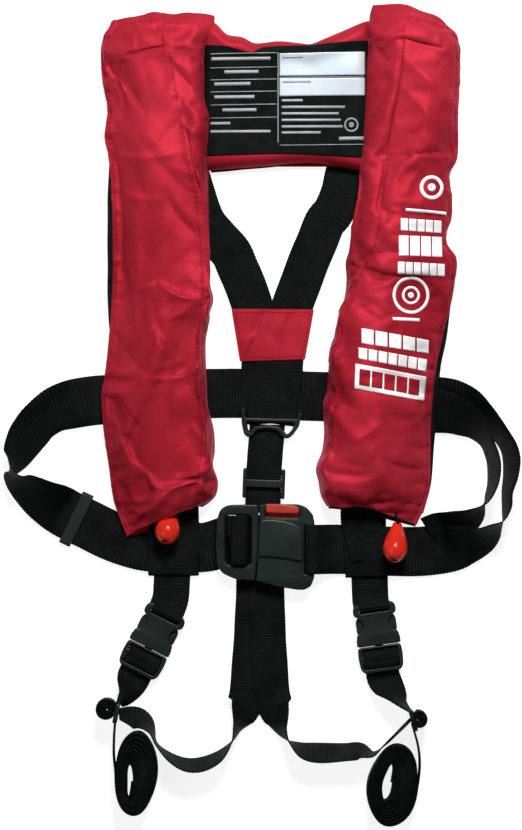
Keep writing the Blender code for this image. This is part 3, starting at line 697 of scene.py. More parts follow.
def edge_weights(rows, columns, reach=3):
    """1 at the sheet's border, falling to 0 a few rows in."""
    weights = np.zeros((rows, columns))
    for r in range(rows):
        for c in range(columns):
            weights[r, c] = max(0.0, 1 - min(r, rows - 1 - r, c, columns - 1 - c) / reach)
    return weights.ravel()


def puff(obj, rows, columns, growth=0.045, pressure=3.0, frames=16, cap=7.0):
    """Lets the cloth grow a little inside its sewn border, so that it puckers like a stuffed cover."""
    rest = np.array([v.co for v in obj.data.vertices])
    group = obj.vertex_groups.new(name="sewn")
    for index, weight in enumerate(edge_weights(rows, columns)):
        if weight > 0:
            group.add([index], weight, "REPLACE")
    cloth = obj.modifiers.new("cloth", "CLOTH")
    settings = cloth.settings
    settings.quality = 6
    settings.mass = 0.15
    settings.tension_stiffness = 25
    settings.compression_stiffness = 25
    settings.shear_stiffness = 8
    settings.bending_stiffness = 0.06
    settings.vertex_group_mass = "sewn"
    settings.shrink_min = -growth
    settings.use_pressure = True
    settings.uniform_pressure_force = pressure
    settings.effector_weights.gravity = 0.0
    cloth.collision_settings.use_collision = False
    cloth.collision_settings.use_self_collision = False
    cloth.point_cache.frame_start = 1
    cloth.point_cache.frame_end = frames
    for step in range(1, frames + 1):
        scene.frame_set(step)
    graph = bpy.context.evaluated_depsgraph_get()
    moved = np.array([v.co for v in obj.evaluated_get(graph).data.vertices])
    obj.modifiers.remove(cloth)
    obj.vertex_groups.clear()
    shift = moved - rest
    size = np.linalg.norm(shift, axis=1)
    limit = np.minimum(1.0, cap * MM / np.maximum(size, 1e-9))
    settled = rest + shift * limit[:, None]
    obj.data.vertices.foreach_set("co", settled.astype(np.float32).ravel())
    scene.frame_set(1)


def crumple(obj, lobe):
    """Pushes the cloth along its normals: folds, slack facets, and puckers drawn in by the stitching."""
    moved = []
    for vertex in obj.data.vertices:
        x, y, z = vertex.co / MM
        to_seam = abs(x - between(lobe["seam"], y))
        to_outer = abs(x - between(lobe["outer"], y))
        free = ramp(to_outer, 0, 9) * ramp(z, LOBE_BASE, LOBE_BASE + 7)
        facets = 1.8 - 5.2 * abs(noise.noise(((x + 0.6 * y) / 40, y / 66, 0.3)))
        facets += 0.6 - 1.8 * abs(noise.noise(((x - 0.5 * y) / 21, y / 40, 7.7)))
        facets += 2.2 * noise.noise((x / 48, y / 60, 3.1))
        height = (facets + fold_height(lobe["folds"], x, y)) * free
        slack = ramp(noise.noise((4.0, y / 30, 0)), -0.2, 0.4)
        wave = sin(2 * pi * y / 9.5 + 7 * noise.noise((0.5, y / 22, 1.0))) * slack
        height += (0.5 * wave * np.exp(-to_seam / 3.2) - 0.6 * np.exp(-((to_seam / 1.1) ** 2))) * free
        hem_line = to_outer - STITCH_INSET
        height += 0.4 * wave * np.exp(-abs(hem_line) / 3) - 0.6 * np.exp(-((hem_line / 1.1) ** 2))
        moved.append(vertex.co + vertex.normal * height * MM)
    for vertex, place in zip(obj.data.vertices, moved):
        vertex.co = place
    obj.data.update()


def shelter(obj, side):
    """Domes the cloth softly over the inflator, gas cylinder and tube that are packed under it."""
    domes = []
    for part in ("inflator", "gas_cylinder", "oral_tube"):
        low, high = (np.array(corner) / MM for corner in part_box(f"{side}_{part}"))
        domes.append(((low + high) / 2, (high - low) / 2 * DOME_SPREAD, high[2] + 3.0 - LOBE_BASE))
    for vertex in obj.data.vertices:
        x, y, z = vertex.co / MM
        for centre, reach, rise in domes:
            away = ((x - centre[0]) / reach[0]) ** 4 + ((y - centre[1]) / reach[1]) ** 4
            roof = LOBE_BASE + rise * np.exp(-away)
            z += DOME_BLEND * np.log1p(np.exp(min(20.0, (roof - z) / DOME_BLEND)))
        vertex.co.z = z * MM
    obj.data.update()


def wall_in(obj, foot=6.0):
    """Drops the cloth's border straight down to the back panel, so that the lobe's ends are closed."""
    shape = bmesh.new()
    shape.from_mesh(obj.data)
    border = [edge.link_loops[0] for edge in shape.edges if edge.is_boundary]
    below = {}
    for loop in border:
        for top in (loop.vert, loop.link_loop_next.vert):
            if top not in below:
                below[top] = shape.verts.new((top.co.x, top.co.y, foot * MM))
    for loop in border:
        start, end = loop.vert, loop.link_loop_next.vert
        loop.edge.smooth = False
        wall = shape.faces.new((end, start, below[start], below[end]))
        wall.smooth = True
    shape.to_mesh(obj.data)
    shape.free()


def finish_cloth(obj, thickness=CLOTH_THICKNESS):
    """Smooths the cloth once and gives it its thickness."""
    smooth = obj.modifiers.new("smooth", "SUBSURF")
    smooth.levels = 1
    smooth.render_levels = 1
    thick = obj.modifiers.new("thickness", "SOLIDIFY")
    thick.thickness = thickness * MM
    thick.offset = 0.0
    return apply_modifiers(obj)


def apply_modifiers(obj):
    bpy.context.view_layer.update()
    graph = bpy.context.evaluated_depsgraph_get()
    mesh = bpy.data.meshes.new_from_object(obj.evaluated_get(graph))
    obj.modifiers.clear()
    obj.data = mesh
    return obj


def surface_tree(*objects):
    """A search tree over the objects' faces, for laying print and stitches on them."""
    vertices, polygons = [], []
    for obj in objects:
        start = len(vertices)
        vertices += [v.co for v in obj.data.vertices]
        polygons += [[start + i for i in p.vertices] for p in obj.data.polygons]
    return BVHTree.FromPolygons(vertices, polygons)


def height_at(tree, x, y, lift=0.0):
    hit = tree.ray_cast(Vector((x * MM, y * MM, 0.3)), Vector((0, 0, -1)))
    return (hit[0].z / MM if hit[0] is not None else LOBE_BASE) + lift


def stitches(name, tree, points, surface, pitch=4.2, length=2.9, radius=0.42):
    """A run of thread dashes along (x, y) points, each lying on the cloth below."""
    path = curve_through([(x, y, 0, 0) for x, y in points], pitch)
    vertices, faces = [], []
    for a, b in zip(path, path[1:]):
        middle, along = (a + b)[:2] / 2, (b - a)[:2]
        size = np.linalg.norm(along)
        if size < 1e-6:
            continue
        along = along / size
        side = np.array([-along[1], along[0]])
        ring = []
        for end, wide in ((-1, 0.55), (0, 1.0), (1, 0.55)):
            x, y = middle + along * end * length / 2
            z = height_at(tree, x, y)
            for s, up in ((-1, -0.2), (-0.6, 0.75), (0.6, 0.75), (1, -0.2)):
                px, py = (x, y) + side * s * radius * wide
                ring.append((px, py, z + up * radius * wide))
        start = len(vertices)
        vertices += ring
        closing = [(0, 1, 2, 3), (11, 10, 9, 8), (4, 0, 3, 7), (8, 4, 7, 11)]
        faces += [tuple(start + i for i in f) for f in grid_faces(3, 4) + closing]
    return mesh_object(name, vertices, faces, surface)


def print_block(tree, corners, lift=INK_LIFT, step=1.3):
    """Points and faces of a four-cornered print laid on the cloth; corners run round the shape."""
    a, b, _, d = (np.array(p, float) for p in corners)
    columns = max(2, int(np.linalg.norm(b - a) / step) + 1)
    rows = max(2, int(np.linalg.norm(d - a) / step) + 1)

    def laid(s, t):
        x, y = in_quad(corners, s, t)
        return (x, y, height_at(tree, x, y, lift))

    return grid_points(rows, columns, laid), grid_faces(rows, columns)


def print_ring(tree, centre, inner, outer, lift=INK_LIFT, steps=48):
    points = []
    for radius in np.linspace(inner, outer, 3):
        for i in range(steps):
            x = centre[0] + radius * cos(2 * pi * i / steps)
            y = centre[1] + radius * sin(2 * pi * i / steps)
            points.append((x, y, height_at(tree, x, y, lift)))
    return points, grid_faces(3, steps, wrap=True)


def printed(name, shapes, surface):
    """One object of several laid shapes, thickened to a film of ink."""
    vertices, faces = [], []
    for points, polygons in shapes:
        start = len(vertices)
        vertices += points
        faces += [tuple(start + i for i in p) for p in polygons]
    obj = mesh_object(name, vertices, faces, surface)
    thick = obj.modifiers.new("thickness", "SOLIDIFY")
    thick.thickness = 0.2 * MM
    return apply_modifiers(obj)


def bend_with_cover(obj, side):
    """Passes the cloth to bend with the side's cover and points on either side of the seam; bend bakes it
    in place, so it does not swing with the cover.
    """
    ends = {"left": ((-66, 160, 0), (-78, 160, 0)), "right": ((100, 160, 0), (112, 161, 0))}
    bend(obj, f"{side}_cover", *ends[side])


def block_row(tree, corners, count, lift=INK_LIFT):
    """A row of plain blocks side by side, standing where a word was printed."""
    a, b, c, d = (np.array(p, float) for p in corners)
    gap = 0.13 if count > 1 else 0.0
    row = []
    for i in range(count):
        s0, s1 = i / count, (i + 1 - gap) / count
        quad = (a + (b - a) * s0, a + (b - a) * s1, d + (c - d) * s1, d + (c - d) * s0)
        row.append(print_block(tree, quad, lift))
    return row


def right_print(tree, ink):
    """Plain bars, blocks, rings and a filled box where the cover carries its printing."""
    rows = [
        (((144, 205), (185, 202), (185, 199), (144, 202)), 1),
        (((139, 195), (181, 193), (181, 181), (139, 183)), 5),
        (((137, 178), (182, 177), (182, 157), (137, 158)), 4),
        (((136, 152), (184, 150), (184, 138), (136, 140)), 6),
        (((131, 97), (158, 96), (158, 93), (131, 94)), 1),
        (((100, 86), (169, 74), (169, 61), (100, 71)), 5),
        (((97, 67), (167, 55), (166, 43), (97, 56)), 7),
    ]
    shapes = [block for corners, count in rows for block in block_row(tree, corners, count)]
    shapes.append(print_block(tree, ((94, 51), (165, 38), (163, 14), (93, 26))))
    low, high = (149.5, 119), (170, 226)
    rings = [(low, 15.5, 18.5), (low, 6.5, 9.0), (low, 0.5, 3.0), (high, 8.5, 12.0), (high, 0.5, 4.0)]
    shapes += [print_ring(tree, *ring) for ring in rings]
    return printed("right_cover_print", shapes, ink)


def right_print_blanks(tree, red):
    """Red blocks on the filled box, which make a white frame of it."""
    shapes = block_row(tree, ((98, 46), (160, 34.5), (159, 19), (97.5, 30)), 5, 0.5)
    return printed("right_cover_print_blanks", shapes, red)


def build_lobes(m):
    for side, x_out in (("left", -1), ("right", 1)):
        lobe = LOBES[side]
        red, thread = m["red"], m["thread"]
        cover = lobe_cover(side, red)
        tree = surface_tree(cover)
        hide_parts(f"{side}_inner_gusset", f"{side}_front_cover")
        seam = [(between(lobe["seam"], y), y) for y in range(-80, 385, 16)]
        edge = [(between(lobe["outer"], y) - x_out * STITCH_INSET, y) for y in range(-95, 370, 16)]
        hem = []
        for i in range(13):
            across = 0.08 + 0.86 * i / 12
            y = between(lobe["hem"], across) + 4.5
            inner, outer = between(lobe["inner"], y), between(lobe["outer"], y)
            hem.append((inner + (outer - inner) * across, y))
        rows = {"seam": seam, "edge": edge, "hem": hem, "top": lobe["top_seam"]}
        pieces = [cover]
        pieces += [stitches(f"{side}_{row}_stitches", tree, rows[row], thread) for row in rows]
        if side == "right":
            pieces += [right_print(tree, m["ink"]), right_print_blanks(tree, red)]
        for piece in pieces:
            bend_with_cover(piece, side)


def closure_strips(m):
    """Black hook-and-loop edges beyond the covers' outer edges, a lining under the right hem, and a black
    strip of painted shade just below the collar's lower rim.
    """
    left = [
        (-139, 275, 6.9, 8), (-142.5, 250, 6.9, 8), (-144.5, 200, 6.9, 8), (-144.5, 140, 6.9, 8),
        (-143.5, 100, 6.9, 8), (-140, 70, 6.9, 8)]
    right = flat(
        6.9, (181, 158), (183, 130), (181, 103), (177, 76), (171, 45), (168, 4), (166, -21),
        (164, -47), (161, -72), (154, -96))
    hem = flat(8.0, (68, -87.5), (78, -88), (105, -90.5), (127, -97.5), (143, -102.5), (156, -106))
    # Painted shade: this black strip lies mostly under the collar and shows only as a dark line below its
    # lower rim, standing for the shade there.
    collar = flat(5.2, (-50, 248), (10, 253.5), (50, 257), (75, 254), (104, 248))
    strips = {
        "left_closure_strip": (left, 17.0),
        "right_closure_strip": (right, 17.0),
        "right_hem_lining": (hem, 12.0),
        "collar_rim_painted_shade": (collar, 12.0),
    }
    for name, (path, width) in strips.items():
        strip = strap(name, path, width, m["hook"], thick=1.2, ribs=False)
        keep(strip, "harness", "black_webbing")


def back_panels(m):
    """Flat cloth backs of the two lobes, following the covers' outlines."""
    rows, columns = 60, 14
    for side in ("left", "right"):
        lobe = LOBES[side]

        def behind(across, v):
            y = lobe_y(lobe, across, v)
            inner, outer = between(lobe["inner"], y), between(lobe["outer"], y)
            x = inner + (outer - inner) * (0.01 + 0.98 * across)
            return (x, y, 5.3 + 0.35 * noise.noise((x / 18, y / 25, 2.0)))

        points = grid_points(rows, columns, behind)
        panel = mesh_object(f"{side}_back_cloth", points, grid_faces(rows, columns), m["red"])
        finish_cloth(panel, 0.9)
        keep(panel, "harness", "red_nylon", f"{side}_back_panel")


COLLAR_TOP_EDGE = [
    (-55, 393), (-45, 391), (-34, 380), (-18, 377), (-6, 371), (18, 373), (40, 371), (50, 370),
    (58, 373), (84, 384), (100, 391), (106, 393)]
COLLAR_LOW_EDGE = [(-55, 244), (10, 249), (50, 252), (75, 249), (106, 243)]


def collar_point(s, t):
    """Point on the collar's cloth: s across from left to right, t from its lower edge up."""
    x = -58.0 + 167 * s
    y = between(COLLAR_LOW_EDGE, x) * (1 - t) + between(COLLAR_TOP_EDGE, x) * t
    sides = max(0.0, 1 - abs(2 * s - 1) ** 14)
    ends = max(0.0, 1 - abs(2 * t - 1) ** 9)
    roll = 4.5 * np.exp(-(((t - 0.93) / 0.06) ** 2)) + 2.5 * np.exp(-(((t - 0.05) / 0.05) ** 2))
    slack = 0.8 * noise.noise((x / 24, y / 30, 5.0)) + 0.5 * noise.noise((x / 9, y / 30, 9.0))
    return (x, y, 7.0 + (13.0 + roll) * (sides * ends) ** 0.5 + slack * ends)


def build_collar(m):
    rows, columns = 50, 60
    points = grid_points(rows, columns, lambda s, t: collar_point(s, (1 - cos(pi * t)) / 2))
    cover = mesh_object("collar_cloth", points, grid_faces(rows, columns), m["red"])
    finish_cloth(cover)
    keep(cover, "harness", "red_nylon", "collar_cover")
    rows, columns = 20, 30
    points = grid_points(rows, columns, lambda s, t: (-51 + 154 * s, 248 + 120 * t, 5.2))
    back = mesh_object("collar_back_cloth", points, grid_faces(rows, columns), m["red"])
    finish_cloth(back, 0.9)
    keep(back, "harness", "red_nylon", "collar_back_panel")
    return surface_tree(cover)


LABEL_TOP = [(-57, 369), (-32, 367), (-10, 361), (2, 366), (45, 368.5), (106, 373.5)]
LABEL_LOW = [(-57, 258), (30, 260), (106, 256)]


def build_label(tree, m):
    """Black cloth label over the collar, with its printing on it."""
    left, right = -56.5, 107.5
    rows, columns = 36, 50

    def laid(s, t):
        x = left + (right - left) * s
        y = between(LABEL_LOW, x) * (1 - t) + between(LABEL_TOP, x) * t
        return (x, y, height_at(tree, x, y, 0.7))

    points = grid_points(rows, columns, laid)
    label = mesh_object("label_cloth", points, grid_faces(rows, columns), m["label"])
    finish_cloth(label, 0.4)
    keep(label, "harness", "label_cloth", "neck_label")
    label_print(surface_tree(label), m)


def label_print(tree, m):
    """Ruled lines, plain bars and rings where the label carries words, and two pale panels."""
    lines = [((17, 361), (18, 361), (18, 271), (17, 271))]
    for y in (361, 347, 335, 323, 310, 297):
        lines.append(((-50, y - 1), (16, y), (16, y - 0.7), (-50, y - 1.7)))
    for y in (336.5, 269):
        lines.append(((19, y), (103, y + 1), (103, y + 0.3), (19, y - 0.7)))
    for y, start, end in ((354, -49, 10), (341, -36, -2), (329, -46, -10), (316, -46, -6), (303, -38, -4)):
        lines.append(((start, y + 2.2), (end, y + 2.6), (end, y - 0.6), (start, y - 1)))
    for y, start, end in ((290, -50, -30), (282, -50, 10)):
        lines.append(((start, y + 1.6), (end, y + 1.9), (end, y - 0.8), (start, y - 1)))
    for y, end in ((313, 42), (306.5, 84), (300, 78), (293.5, 80), (287, 82), (281, 60)):
        lines.append(((21, y + 1.4), (end, y + 1.6), (end, y - 0.9), (21, y - 1)))
    marks = [print_block(tree, corners, LABEL_INK_LIFT) for corners in lines]
    for inner, outer in ((5.5, 7.2), (0.4, 2.6)):
        marks.append(print_ring(tree, (90.5, 289), inner, outer, LABEL_INK_LIFT))
    under_rings = ((78, 277), (103, 277.5), (103, 274), (78, 273.5))
    marks.append(print_block(tree, under_rings, LABEL_INK_LIFT))
    panels = [
        ((19, 360), (104, 362), (104, 338.6), (19, 337.6)),
        ((19, 335.4), (104, 336), (104, 318.5), (19, 317.5)),
    ]
    panel_bars = [
        ((22, 357), (42, 357.4), (42, 355.6), (22, 355.2)),
        ((22, 332.6), (50, 333), (50, 331.2), (22, 330.8)),
    ]
    white = [print_block(tree, corners, LABEL_INK_LIFT) for corners in panels]
    small = [print_block(tree, corners, PANEL_INK_LIFT) for corners in panel_bars]
    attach(printed("label_marks", marks, m["grey_ink"]), "harness")
    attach(printed("label_panel", white, m["pale"]), "harness")
    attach(printed("label_panel_marks", small, m["grey_ink"]), "harness")


def bladder(name, left, right, low, high, m, pleats=6):
    """Folded bladder: yellow coated cloth laid in lengthwise pleats."""
    rows, columns = 40, 8 * pleats
    (y0, y1), base = (low, high), 6.6
    points = []
    for layer in (1, 0):
        for r in range(rows):
            along = r / (rows - 1)
            y = y0 + (y1 - y0) * along
            end = max(0.0, 1 - abs(2 * along - 1) ** 10)
            for c in range(columns):
                across = c / (columns - 1)
                x = left(y) + (right(y) - left(y)) * across
                round_off = (max(0.0, 1 - abs(2 * across - 1) ** 8) * end) ** 0.5
                pleat = 0.82 + 0.14 * abs(sin(pi * pleats * across + 0.25 * sin(y / 30)))
                points.append((x, y, base + layer * (0.8 + 9.0 * round_off * pleat)))
    count = rows * columns
    top = grid_faces(rows, columns)
    under = [tuple(i + count for i in reversed(face)) for face in top]
    rim = [r * columns for r in range(rows - 1, 0, -1)] + list(range(columns - 1))
    rim += [r * columns + columns - 1 for r in range(rows - 1)]
    rim += [(rows - 1) * columns + c for c in range(columns - 1, 0, -1)]
    sides = [(a, a + count, b + count, b) for a, b in zip(rim, rim[1:] + rim[:1])]
    obj = mesh_object(name + "_cloth", points, top + under + sides, m["yellow"])
    keep(obj, "harness", "bladder_coated_cloth", name)


def build_bladders(m):
    left, right = LOBES["left"], LOBES["right"]
    low, high = -60, 360
    bladder(
        "left_bladder", lambda y: between(left["outer"], y) + 10,
        lambda y: between(left["inner"], y) - 9, low, high, m)
    bladder(
        "right_bladder", lambda y: between(right["inner"], y) + 9,
        lambda y: between(right["outer"], y) - 10, low, high, m)
    bladder("collar_bladder", lambda y: -43.0, lambda y: 92.0, 256, 362, m, pleats=5)


# ---------------------------------------------------------------- webbing

def build_waist_belt(m):
    web = m["web"]
    back = strap("waist_belt_back_web", flat(ON_FLOOR, (-149, 20), (0, 21), (171, 12)), BELT_WIDTH, web)
    keep(back, "harness", "black_webbing", "waist_belt_back")
    left = belt_on_edge(
        (-149, 15.5, 0, 0), (-168, 14, 0, 0), (-187, 11, 8, 0), (-204.5, 5.5, 26, 0),
        (-220, -5.5, 36, 0), (-229, -16.5, 38, 0), (-237, -28, 44, 0), (-246.5, -45, 62, 0.4),
        (-249, -55, 98, 1), (-244, -64, 116, 1.4), (-234, -72, 131, 2), (-221, -81.5, 146, 2.3),
        (-209, -89.3, 163, 2.3))
    left += [(-198, -96.2, 3.3, 178)]
    left += turned_over(
        (-187, -102, 3.2), (-150, -120, 3.2), (-122, -130, 3.2), (-96, -133, 3.2), (-70, -133, 3.3),
        (-52, -131.5, 3.6), (-40, -128, 5.2), (-33.6, -125.5, 10), (-30.6, -124.5, 17.0),
        (-26, -124.5, 20.6), (-16.5, -124.5, 20.6), (-12.6, -124.5, 17.4), (-10.8, -124.5, 12),
        (-14, -124.5, 7), (-22, -126, 5.4))
    belt = strap("waist_belt_left_web", left, BELT_WIDTH, web)
    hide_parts("waist_belt_left", "plug_webbing_wrap")
    bend(belt, "buckle_plug", (-190, -131, 3), (-60, -131, 3))
    right = belt_on_edge(
        (171, 12, 0, 0), (181, 13, 6, 0), (195, 12, 24, 0), (209, 7, 40, 0), (222, -2, 56, 0),
        (232, -11, 66, 0.2), (239.5, -20, 71, 0.4), (247, -32, 72, 0.4), (250, -45, 72, 0.6),
        (249, -61, 75, 0.8), (245.5, -77, 80, 1), (245, -92, 82, 1.2), (241.5, -105, 92, 1.6),
        (232, -114, 110, 2), (219, -123.5, 132, 2.3), (200, -130, 150, 2.3))
    right += [(180, -134, 3.6, 177)]
    right += turned_over(
        (150, -136.5, 3.2), (120, -136, 3.2), (85, -134.5, 3.4), (70, -134, 7), (61, -134, 14.5),
        (55, -134, 20.0), (49.5, -134, 20.6), (44.7, -134, 17.5), (44.3, -134, 10),
        (47.5, -134, 5.4), (56, -134, 3.6))
    outer = strap("waist_belt_right_web", right, BELT_WIDTH, web, flip=-1)
    keep(outer, "harness", "black_webbing", "waist_belt_right")
    inner = belt_on_edge(
        (174, 4, 20, 2.3), (186, 2, 30, 2.3), (199, -2, 40, 2.5), (213, -10, 56, 2.8),
        (224, -25, 73, 3), (231, -42, 75, 3), (232.5, -56, 76, 3), (230.5, -71, 80, 3),
        (224, -86, 88, 2.6), (214, -97, 112, 2), (201, -106, 134, 0.6), (186, -115, 158, 0),
        (172, -123, 172, 0))
    loop = strap("waist_belt_adjust_web", inner, BELT_WIDTH - 3, web, flip=-1)
    keep(loop, "harness", "black_webbing", "waist_belt_adjust_loop")


def build_back_straps(m):
    web = m["web"]
    left = flat(
        ON_FLOOR, (-74, 250), (-69.5, 234), (-61.5, 208), (-54, 191), (-42, 176), (-29.5, 162),
        (-22.5, 146), (-13, 124), (-7, 106), (-3, 88))
    right = flat(
        ON_FLOOR, (88, 250), (84.5, 237), (81, 222), (73, 203), (64.3, 192), (55.7, 172),
        (45.8, 148), (36, 121), (31, 105), (28, 88))
    for side, path in (("left", left), ("right", right)):
        shoulder = strap(f"{side}_shoulder_web", path, SHOULDER_WIDTH, web)
        keep(shoulder, "harness", "black_webbing", f"{side}_shoulder_strap")
    top = flat(3.2, (19, 60), (18, 40)) + flat(3.4, (14, 20), (11.5, 2))
    top += [(11, -5, 4.4, 0), (10.8, -8, 3.4, 0), (10.8, -6.5, 1.6, 0), (11, 0, 1.3, 0)]
    centre = strap("centre_back_web", top, BELT_WIDTH - 1, web)
    keep(centre, "harness", "black_webbing", "centre_back_strap")
    path = flat(2.5, (2, 58), (1, 20), (-1, -1))
    under = strap("centre_back_under_web", path, SHOULDER_WIDTH, web, thick=1.2)
    keep(under, "harness", "black_webbing")
    crotch = [
        (6.8, -9.5, 1.0, 0), (6.6, -16, 1.2, 0), (6.2, -24, 2.2, 0), (5, -36, 3.4, 0),
        (4, -50, 3.6, 0), (2.5, -80, 3.2, 0), (2, -98, 3.2, 0)]
    narrow = strap("upper_crotch_web", crotch, STRAP_WIDTH - 1, web)
    keep(narrow, "harness", "black_webbing", "upper_crotch_strap")


def build_patch(m):
    """Red patch over the point of the V, stitched near its border."""
    corners = ((-29, 106), (53.5, 105.5), (44.5, 55.5), (-20.5, 53.5))
    folds = [(10, 107, -6, 78, 3, -1.4), (-5, 82, -13, 60, 3, 1.2), (30, 106, 20, 70, 4, 0.8)]
    rows, columns = 28, 44

    def creased(s, t):
        x, y = in_quad(corners, s, t)
        crease = fold_height(folds, x, y)
        return (x, y, 4.6 + crease + 0.6 * noise.noise((x / 14, y / 14, 3.0)))

    points = grid_points(rows, columns, creased)
    patch = mesh_object("back_patch_cloth", points, grid_faces(rows, columns), m["red"])
    finish_cloth(patch, 0.8)
    keep(patch, "harness", "red_nylon", "back_patch")
    tree = surface_tree(patch)
    inset = [(-25.5, 102.5), (50, 102), (41.5, 58.5), (-17.5, 57), (-25.5, 102.5)]
    for i, (start, end) in enumerate(zip(inset, inset[1:])):
        line = stitches(f"patch_stitches_{i}", tree, [start, end], m["thread"])
        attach(line, "harness")


def folded_loop(name, x, width, hem_y, fold_y, m, lean=0.0):
    """Wide webbing hanging over the front belt and folded up behind it."""
    path = [
        (x + lean, hem_y + 6, 6.9, 0), (x + lean * 0.9, hem_y - 6, 6.4, 0),
        (x + lean * 0.5, hem_y - 26, 5.6, 0), (x, fold_y + 12, 5.6, 0), (x, fold_y + 3, 5.2, 0),
        (x, fold_y + 0.9, 3.2, 0), (x, fold_y + 3, 1.2, 0), (x, fold_y + 14, ON_FLOOR, 0),
        (x, -76, ON_FLOOR, 0)]
    keep(strap(name + "_web", path, width, m["web"]), "harness", "black_webbing", name)


def build_front_loops(m):
    """The two wide loops, the drop straps below them and a narrow fold beside the right one."""
    web = m["web"]
    folded_loop("left_belt_loop", -87, 51, -93, -161, m)
    folded_loop("right_belt_loop", 105, 41, -98, -163, m, lean=-5)
    left = flat(2.0, (-88, -154), (-88.5, -170), (-90, -184)) + [(-95, -198, 6.0, 0)]
    right = flat(2.0, (109, -155), (109.6, -172), (110, -184)) + [(111, -191, 6.0, 0)]
    for side, path in (("left", left), ("right", right)):
        drop = strap(f"{side}_drop_web", path, STRAP_WIDTH, web)
        keep(drop, "harness", "black_webbing", f"{side}_drop_strap")
    slant = [(88, -104, 8.4, 0), (92, -122, 7.6, 0), (97, -146, 7.0, 0)]
    keep(strap("right_loop_fold_web", slant, 15, web), "harness", "black_webbing")


def spiral(centre, outer, inner, start, turns, sense):
    """Strap points standing on edge, wound inwards from the outer radius."""
    points = []
    for i in range(int(turns * 12) + 1):
        f = i / (turns * 12)
        angle = radians(start) + sense * 2 * pi * turns * f
        radius = outer + (inner - outer) * f
        x, y = centre[0] + radius * cos(angle), centre[1] + radius * sin(angle)
        points.append(rolled(x, y, 90, 0, STRAP_WIDTH))
    return points


def crotch_strap(side, path, m, start, end, flip=1):
    """One of the two straps between the legs, baked in place where it lies."""
    made = strap(f"{side}_crotch_web", path, STRAP_WIDTH, m["web"], flip)
    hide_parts(f"{side}_crotch_strap")
    bend(made, f"{side}_leg", start, end)


def build_leg_straps(m):
    left = flat(ON_FLOOR, (-5.8, -100), (-6.2, -170), (-11.5, -265))
    left += strap_on_edge(
        (-15, -287, 14, 0), (-19, -299, 48, 0), (-23, -311, 74, 0), (-28, -325, 88, 0),
        (-41, -340, 104, 0), (-57.5, -348, 110, 0), (-74, -348.5, 108, 0), (-90, -341, 100, 0),
        (-103.5, -328, 91, 0), (-109, -314, 100, 0), (-122, -303, 124, 0), (-141, -298, 104, 0))
    crotch_strap("left", left, m, (-30, -330, 0), (-138, -296, 0))
    right = [(4.8, -100, 3.0, 0), (5.6, -170, 3.0, 0), (9.8, -265, 2.8, 0)]
    right += strap_on_edge(
        (13.5, -288, 14, 1), (17.5, -301, 46, 0.6), (22, -315, 72, 0), (29, -326, 90, 0),
        (42, -334.5, 112, 0), (58, -337, 120, 0), (84, -336, 116, 0), (99, -335, 114, 0),
        (112, -338, 94, 0), (123.5, -329, 85, 0), (136, -317, 83, 0), (150, -303, 82, 0))
    crotch_strap("right", right, m, (40, -335, 0), (145, -303, 0), flip=-1)
    left_end = [(-118.5, -246, 10, 0), (-120.5, -250, 11.4, 0), (-123.5, -256, 8, 0), (-127, -263, 5, 4)]
    left_end += strap_on_edge((-133, -273, 34, 0), (-139.5, -284, 74, 0))
    left_end += spiral((-153.5, -293), 10.5, 0.9, 20, 4.7, 1)
    right_end = [(120.4, -245, 10, 0), (121, -249, 11.4, 0), (122, -256, 8, 0), (123.5, -263, 5, 4)]
    right_end += strap_on_edge((129, -273, 30, 0), (139, -285, 70, 0))
    right_end += spiral((157.5, -303), 8.5, 0.9, 130, 3.7, -1)
    for side, path in (("left", left_end), ("right", right_end)):
        end = strap(f"{side}_leg_web", path, STRAP_WIDTH - 3, m["web"], thick=2.2)
        keep(end, f"{side}_leg", "black_webbing", f"{side}_leg_strap_end")


def coil(name, lead, centre, angle, outer, inner, turns, body, node_name, m, clockwise=1, drift=(0, 0)):
    """Rolled strap tail standing on edge, wound inwards from the run that leads to it."""
    z = STRAP_WIDTH / 2 + 1.0
    turn = radians(angle)

    def wound(around, f):
        """Point of the roll at an angle, a share f of the way in from its outer layer."""
        a = outer[0] + (inner[0] - outer[0]) * f
        b = outer[1] + (inner[1] - outer[1]) * f
        squash = 1 + (0.05 + 0.08 * f) * sin(3 * around + 1.0)
        x, y = a * cos(around) * squash + drift[0] * f, b * sin(around) + drift[1] * f
        return centre[0] + x * cos(turn) - y * sin(turn), centre[1] + x * sin(turn) + y * cos(turn)

    path = [(x, y, z, 90) for x, y in lead]
    for f in np.linspace(0, 1, int(turns * 20) + 1):
        around = pi + clockwise * 2 * pi * turns * f
        path.append((*wound(around, f), z + 0.7 * sin(2.3 * around), 90))
    tail = strap(name, path, STRAP_WIDTH, m["web"], thick=2.3)
    # Painted shade: a black solid fills the roll between its outer and inner turns, so the gaps between
    # the turns read dark instead of showing the floor.
    steps = 48
    rings = [(0.03, 1.5), (0.03, STRAP_WIDTH - 1.2), (0.97, STRAP_WIDTH - 1.2), (0.97, 1.5), (0.03, 1.5)]
    layers = [(*wound(2 * pi * i / steps, f), height) for f, height in rings for i in range(steps)]
    core = mesh_object(name + "_painted_gap_shade", layers, grid_faces(len(rings), steps, wrap=True), m["hook"])
    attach(core, body)
    return keep(tail, body, "black_webbing", node_name)


def build_tails(m):
    coil("left_tail_web", [(-144.5, -302), (-145.8, -320), (-146, -338)], (-124, -356), -3,
         (21.3, 42), (2.6, 16), 8.5, "left_leg", "left_strap_tail", m, clockwise=1, drift=(-6.2, -9))
    coil("right_tail_web", [(151, -308), (157, -330), (158.5, -350)], (132.3, -368), 170,
         (24.8, 41), (4.5, 18), 9, "right_leg", "right_strap_tail", m, clockwise=-1, drift=(6, -2))


# ---------------------------------------------------------------- buckles and pulls

